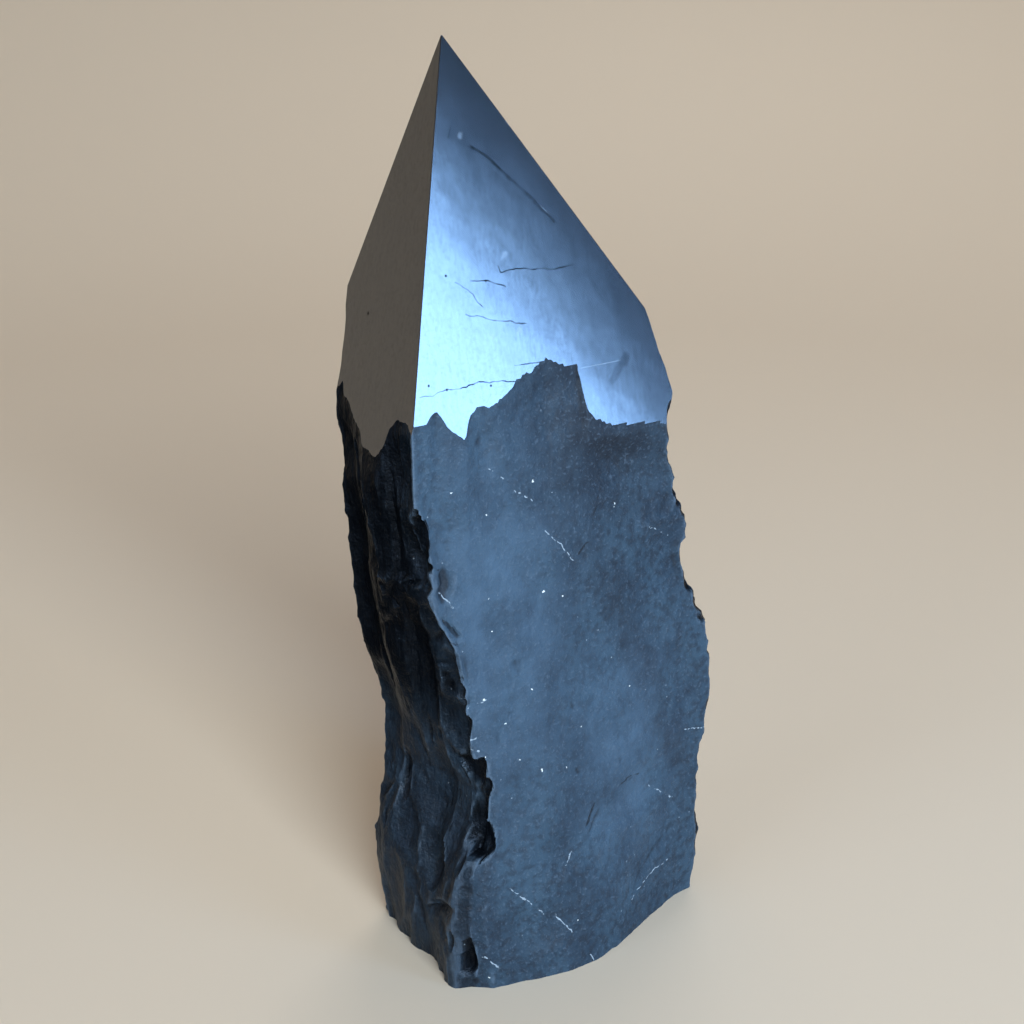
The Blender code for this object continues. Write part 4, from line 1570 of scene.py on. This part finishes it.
@dataclass
class ShungitePoint:
    """The whole stone: one solid, broken below and polished above."""

    walls: list[Wall]

    def build(self) -> bpy.types.Object:
        """Break, roughen and grind the block, and dress it.

        Returns:
            The stone.
        """
        broken = BrokenShungite().material()
        polished = PolishedShungite().material()
        FractureScars().strike(self.walls)
        rough = Hackle().roughen(RawBlock(self.walls).mesh(), broken)
        rough.materials.clear()
        rough.materials.append(broken)
        rough.materials.append(polished)
        Grinding(self.walls).work(rough)
        rough.name = "shungite_point"
        stone = bpy.data.objects.new("shungite_point", rough)
        bpy.context.scene.collection.objects.link(stone)
        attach(stone, BODY)
        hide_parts(NODE)
        LOG.info("%s: %d faces", stone.name, len(rough.polygons))
        return stone


def toward(azimuth: float, elevation: float, distance: float) -> Vector:
    """A place seen from the stone.

    Args:
        azimuth: Degrees round from the front, toward the stone's right.
        elevation: Degrees above level.
        distance: Metres away.

    Returns:
        The place, with the middle of the polished part as its centre.
    """
    turn, rise = math.radians(azimuth), math.radians(elevation)
    level = math.cos(rise)
    way = Vector((math.sin(turn) * level, -math.cos(turn) * level, math.sin(rise)))
    return LIT_MIDDLE + way * distance


CARD_PLACE = toward(46, 20, 0.62)


@dataclass(frozen=True)
class Softbox:
    """One soft rectangular light, aimed at the middle of the polished part.

    The azimuth, elevation, roll and spread are in degrees, and the sizes in metres.
    """

    name: str
    azimuth: float
    elevation: float
    distance: float
    width: float
    height: float
    watts: float
    colour: str
    roll: float = 0.0
    spread: float = 180.0

    def light(self) -> bpy.types.Object:
        """Make the light.

        Returns:
            The light, which no camera sees.
        """
        lamp = bpy.data.lights.new(self.name, "AREA")
        lamp.shape = "RECTANGLE"
        lamp.size, lamp.size_y = self.width, self.height
        lamp.energy = self.watts
        lamp.spread = math.radians(self.spread)
        lamp.color = linear(self.colour)[:3]
        light = bpy.data.objects.new(self.name, lamp)
        light.location = toward(self.azimuth, self.elevation, self.distance)
        aim = light.location - LIT_MIDDLE
        turned = Quaternion((0, 0, 1), math.radians(self.roll))
        light.rotation_euler = (aim.to_track_quat("Z", "Y") @ turned).to_euler()
        light.visible_camera = False
        bpy.context.scene.collection.objects.link(light)
        return light


def matt_paper(name: str, colour: str, roughness: float = 0.95,
               specular: float = 0.2) -> bpy.types.Material:
    """Matt card or paper of one colour, uncoated, plain and without texture.

    Args:
        name: The material's name.
        colour: Its sRGB colour.
        roughness: How rough it is.
        specular: How much it shines.

    Returns:
        The material.
    """
    material = bpy.data.materials.new(name)
    material.use_nodes = True
    shader = material.node_tree.nodes["Principled BSDF"]
    shader.inputs["Base Color"].default_value = linear(colour)
    shader.inputs["Roughness"].default_value = roughness
    shader.inputs["Specular IOR Level"].default_value = specular
    return material


@dataclass(frozen=True)
class DarkCard:
    """A matt dark card that keeps the polish or the shaded side dark.

    It is seen only as a reflection, so it shows in no view and takes no light from the paper.
    """

    name: str
    middle: Vector
    facing: Vector
    width: float
    height: float
    colour: str

    def build(self) -> bpy.types.Object:
        """Make the card.

        Returns:
            The card.
        """
        turn = self.facing.to_track_quat("Z", "Y")
        x, y = self.width / 2, self.height / 2
        corners = [Vector(place) for place in ((-x, -y, 0), (x, -y, 0), (x, y, 0), (-x, y, 0))]
        mesh = bpy.data.meshes.new(self.name)
        mesh.from_pydata([self.middle + turn @ corner for corner in corners], [], [(0, 1, 2, 3)])
        mesh.materials.append(matt_paper("black card, matt", self.colour))
        card = bpy.data.objects.new(self.name, mesh)
        bpy.context.scene.collection.objects.link(card)
        card.visible_camera = False
        card.visible_diffuse = False
        card.visible_shadow = False
        return card


@dataclass
class Studio:
    """A pale sweep of paper all round the stone, with soft light, and the camera.

    Sizes are in metres. The narrowed spread of two lights keeps them off the paper near them.
    """

    floor_radius: float = 0.45
    bend_radius: float = 0.95
    rim_height: float = 1.10
    around: int = 96
    bend_steps: int = 16
    paper: str = "#D6C3A9"
    cards: list[DarkCard] = field(default_factory=lambda: [
        DarkCard("front_card", CARD_PLACE, CARD_PLACE - LIT_MIDDLE, 0.75, 0.60, "#1A2430"),
        DarkCard("side_card", Vector((-0.27, 0.16, 0.001)), Vector((0, 0, 1)),
                 0.44, 0.56, "#1C1A18"),
    ])
    room: str = "#C9D2DC"
    room_strength: float = 0.05
    lights: list[Softbox] = field(default_factory=lambda: [
        Softbox("window", -13, 15, 1.2, 0.672, 0.544, 23.5, "#D2E6FC", spread=130.0),
        Softbox("low card", 28.0, 4.5, 0.5, 0.130, 0.266, 0.975, "#8FC1FF", roll=26.6,
                spread=150.0),
        Softbox("left fill", -85, 12, 0.8, 0.4, 0.4, 2.4, "#BAD8FF"),
        Softbox("ceiling", 150, 75, 1.2, 0.7, 0.7, 2.4, "#FFE4C4"),
        Softbox("back fill", 130, 35, 1.0, 0.5, 0.5, 2.5, "#E4EEFF"),
    ])
    eye: Place = (-0.1339, -0.18287, 0.173)
    look: Place = (68.0, 0.0, -35.0)
    focal_pixels: float = 1400.0
    frame_pixels: float = 1024.0
    film: float = 36.0
    nearest: float = 0.01

    def floor(self) -> bpy.types.Object:
        """Make the floor, which bends up into a wall all round.

        Returns:
            The floor.
        """
        profile = [(0.0, 0.0), (self.floor_radius, 0.0)]
        for step in range(1, self.bend_steps + 1):
            turn = math.pi / 2 * step / self.bend_steps
            profile.append((self.floor_radius + self.bend_radius * math.sin(turn),
                            self.bend_radius * (1 - math.cos(turn))))
        profile.append((self.floor_radius + self.bend_radius, self.rim_height))
        bm = bmesh.new()
        middle = bm.verts.new((0, 0, 0))
        turns = [math.tau * i / self.around for i in range(self.around)]
        rings = [[bm.verts.new((r * math.cos(t), r * math.sin(t), z)) for t in turns]
                 for r, z in profile[1:]]
        for i in range(self.around):
            j = (i + 1) % self.around
            bm.faces.new((middle, rings[0][i], rings[0][j]))
            for lower, upper in zip(rings, rings[1:]):
                bm.faces.new((lower[i], upper[i], upper[j], lower[j]))
        for face in bm.faces:
            face.smooth = True
        mesh = bpy.data.meshes.new("paper sweep")
        bm.to_mesh(mesh)
        bm.free()
        mesh.materials.append(matt_paper("studio paper, matt", self.paper))
        floor = bpy.data.objects.new("paper_sweep", mesh)
        bpy.context.scene.collection.objects.link(floor)
        return floor

    def world(self) -> None:
        """Light the scene evenly by a dim and slightly cool room."""
        world = bpy.data.worlds.new("room")
        world.use_nodes = True
        background = world.node_tree.nodes["Background"]
        background.inputs["Color"].default_value = linear(self.room)
        background.inputs["Strength"].default_value = self.room_strength
        bpy.context.scene.world = world

    def camera(self) -> bpy.types.Object:
        """Make the camera, where the photograph was taken from.

        Returns:
            The camera.
        """
        lens = bpy.data.cameras.new("camera")
        lens.sensor_width = self.film
        lens.lens = self.film * self.focal_pixels / self.frame_pixels
        lens.clip_start = self.nearest
        camera = bpy.data.objects.new("camera", lens)
        camera.location = self.eye
        camera.rotation_euler = [math.radians(angle) for angle in self.look]
        bpy.context.scene.collection.objects.link(camera)
        bpy.context.scene.camera = camera
        return camera

    def build(self) -> None:
        """Set up floor, lights, room and camera."""
        self.floor()
        for card in self.cards:
            card.build()
        self.world()
        for softbox in self.lights:
            softbox.light()
        self.camera()
        bpy.context.scene.view_settings.view_transform = "Standard"


def main() -> None:
    """Build the stone and its studio."""
    logging.basicConfig(level=logging.INFO, format="%(name)s: %(message)s")
    ShungitePoint(WALLS).build()
    Studio().build()


if __name__ == "__main__":
    main()
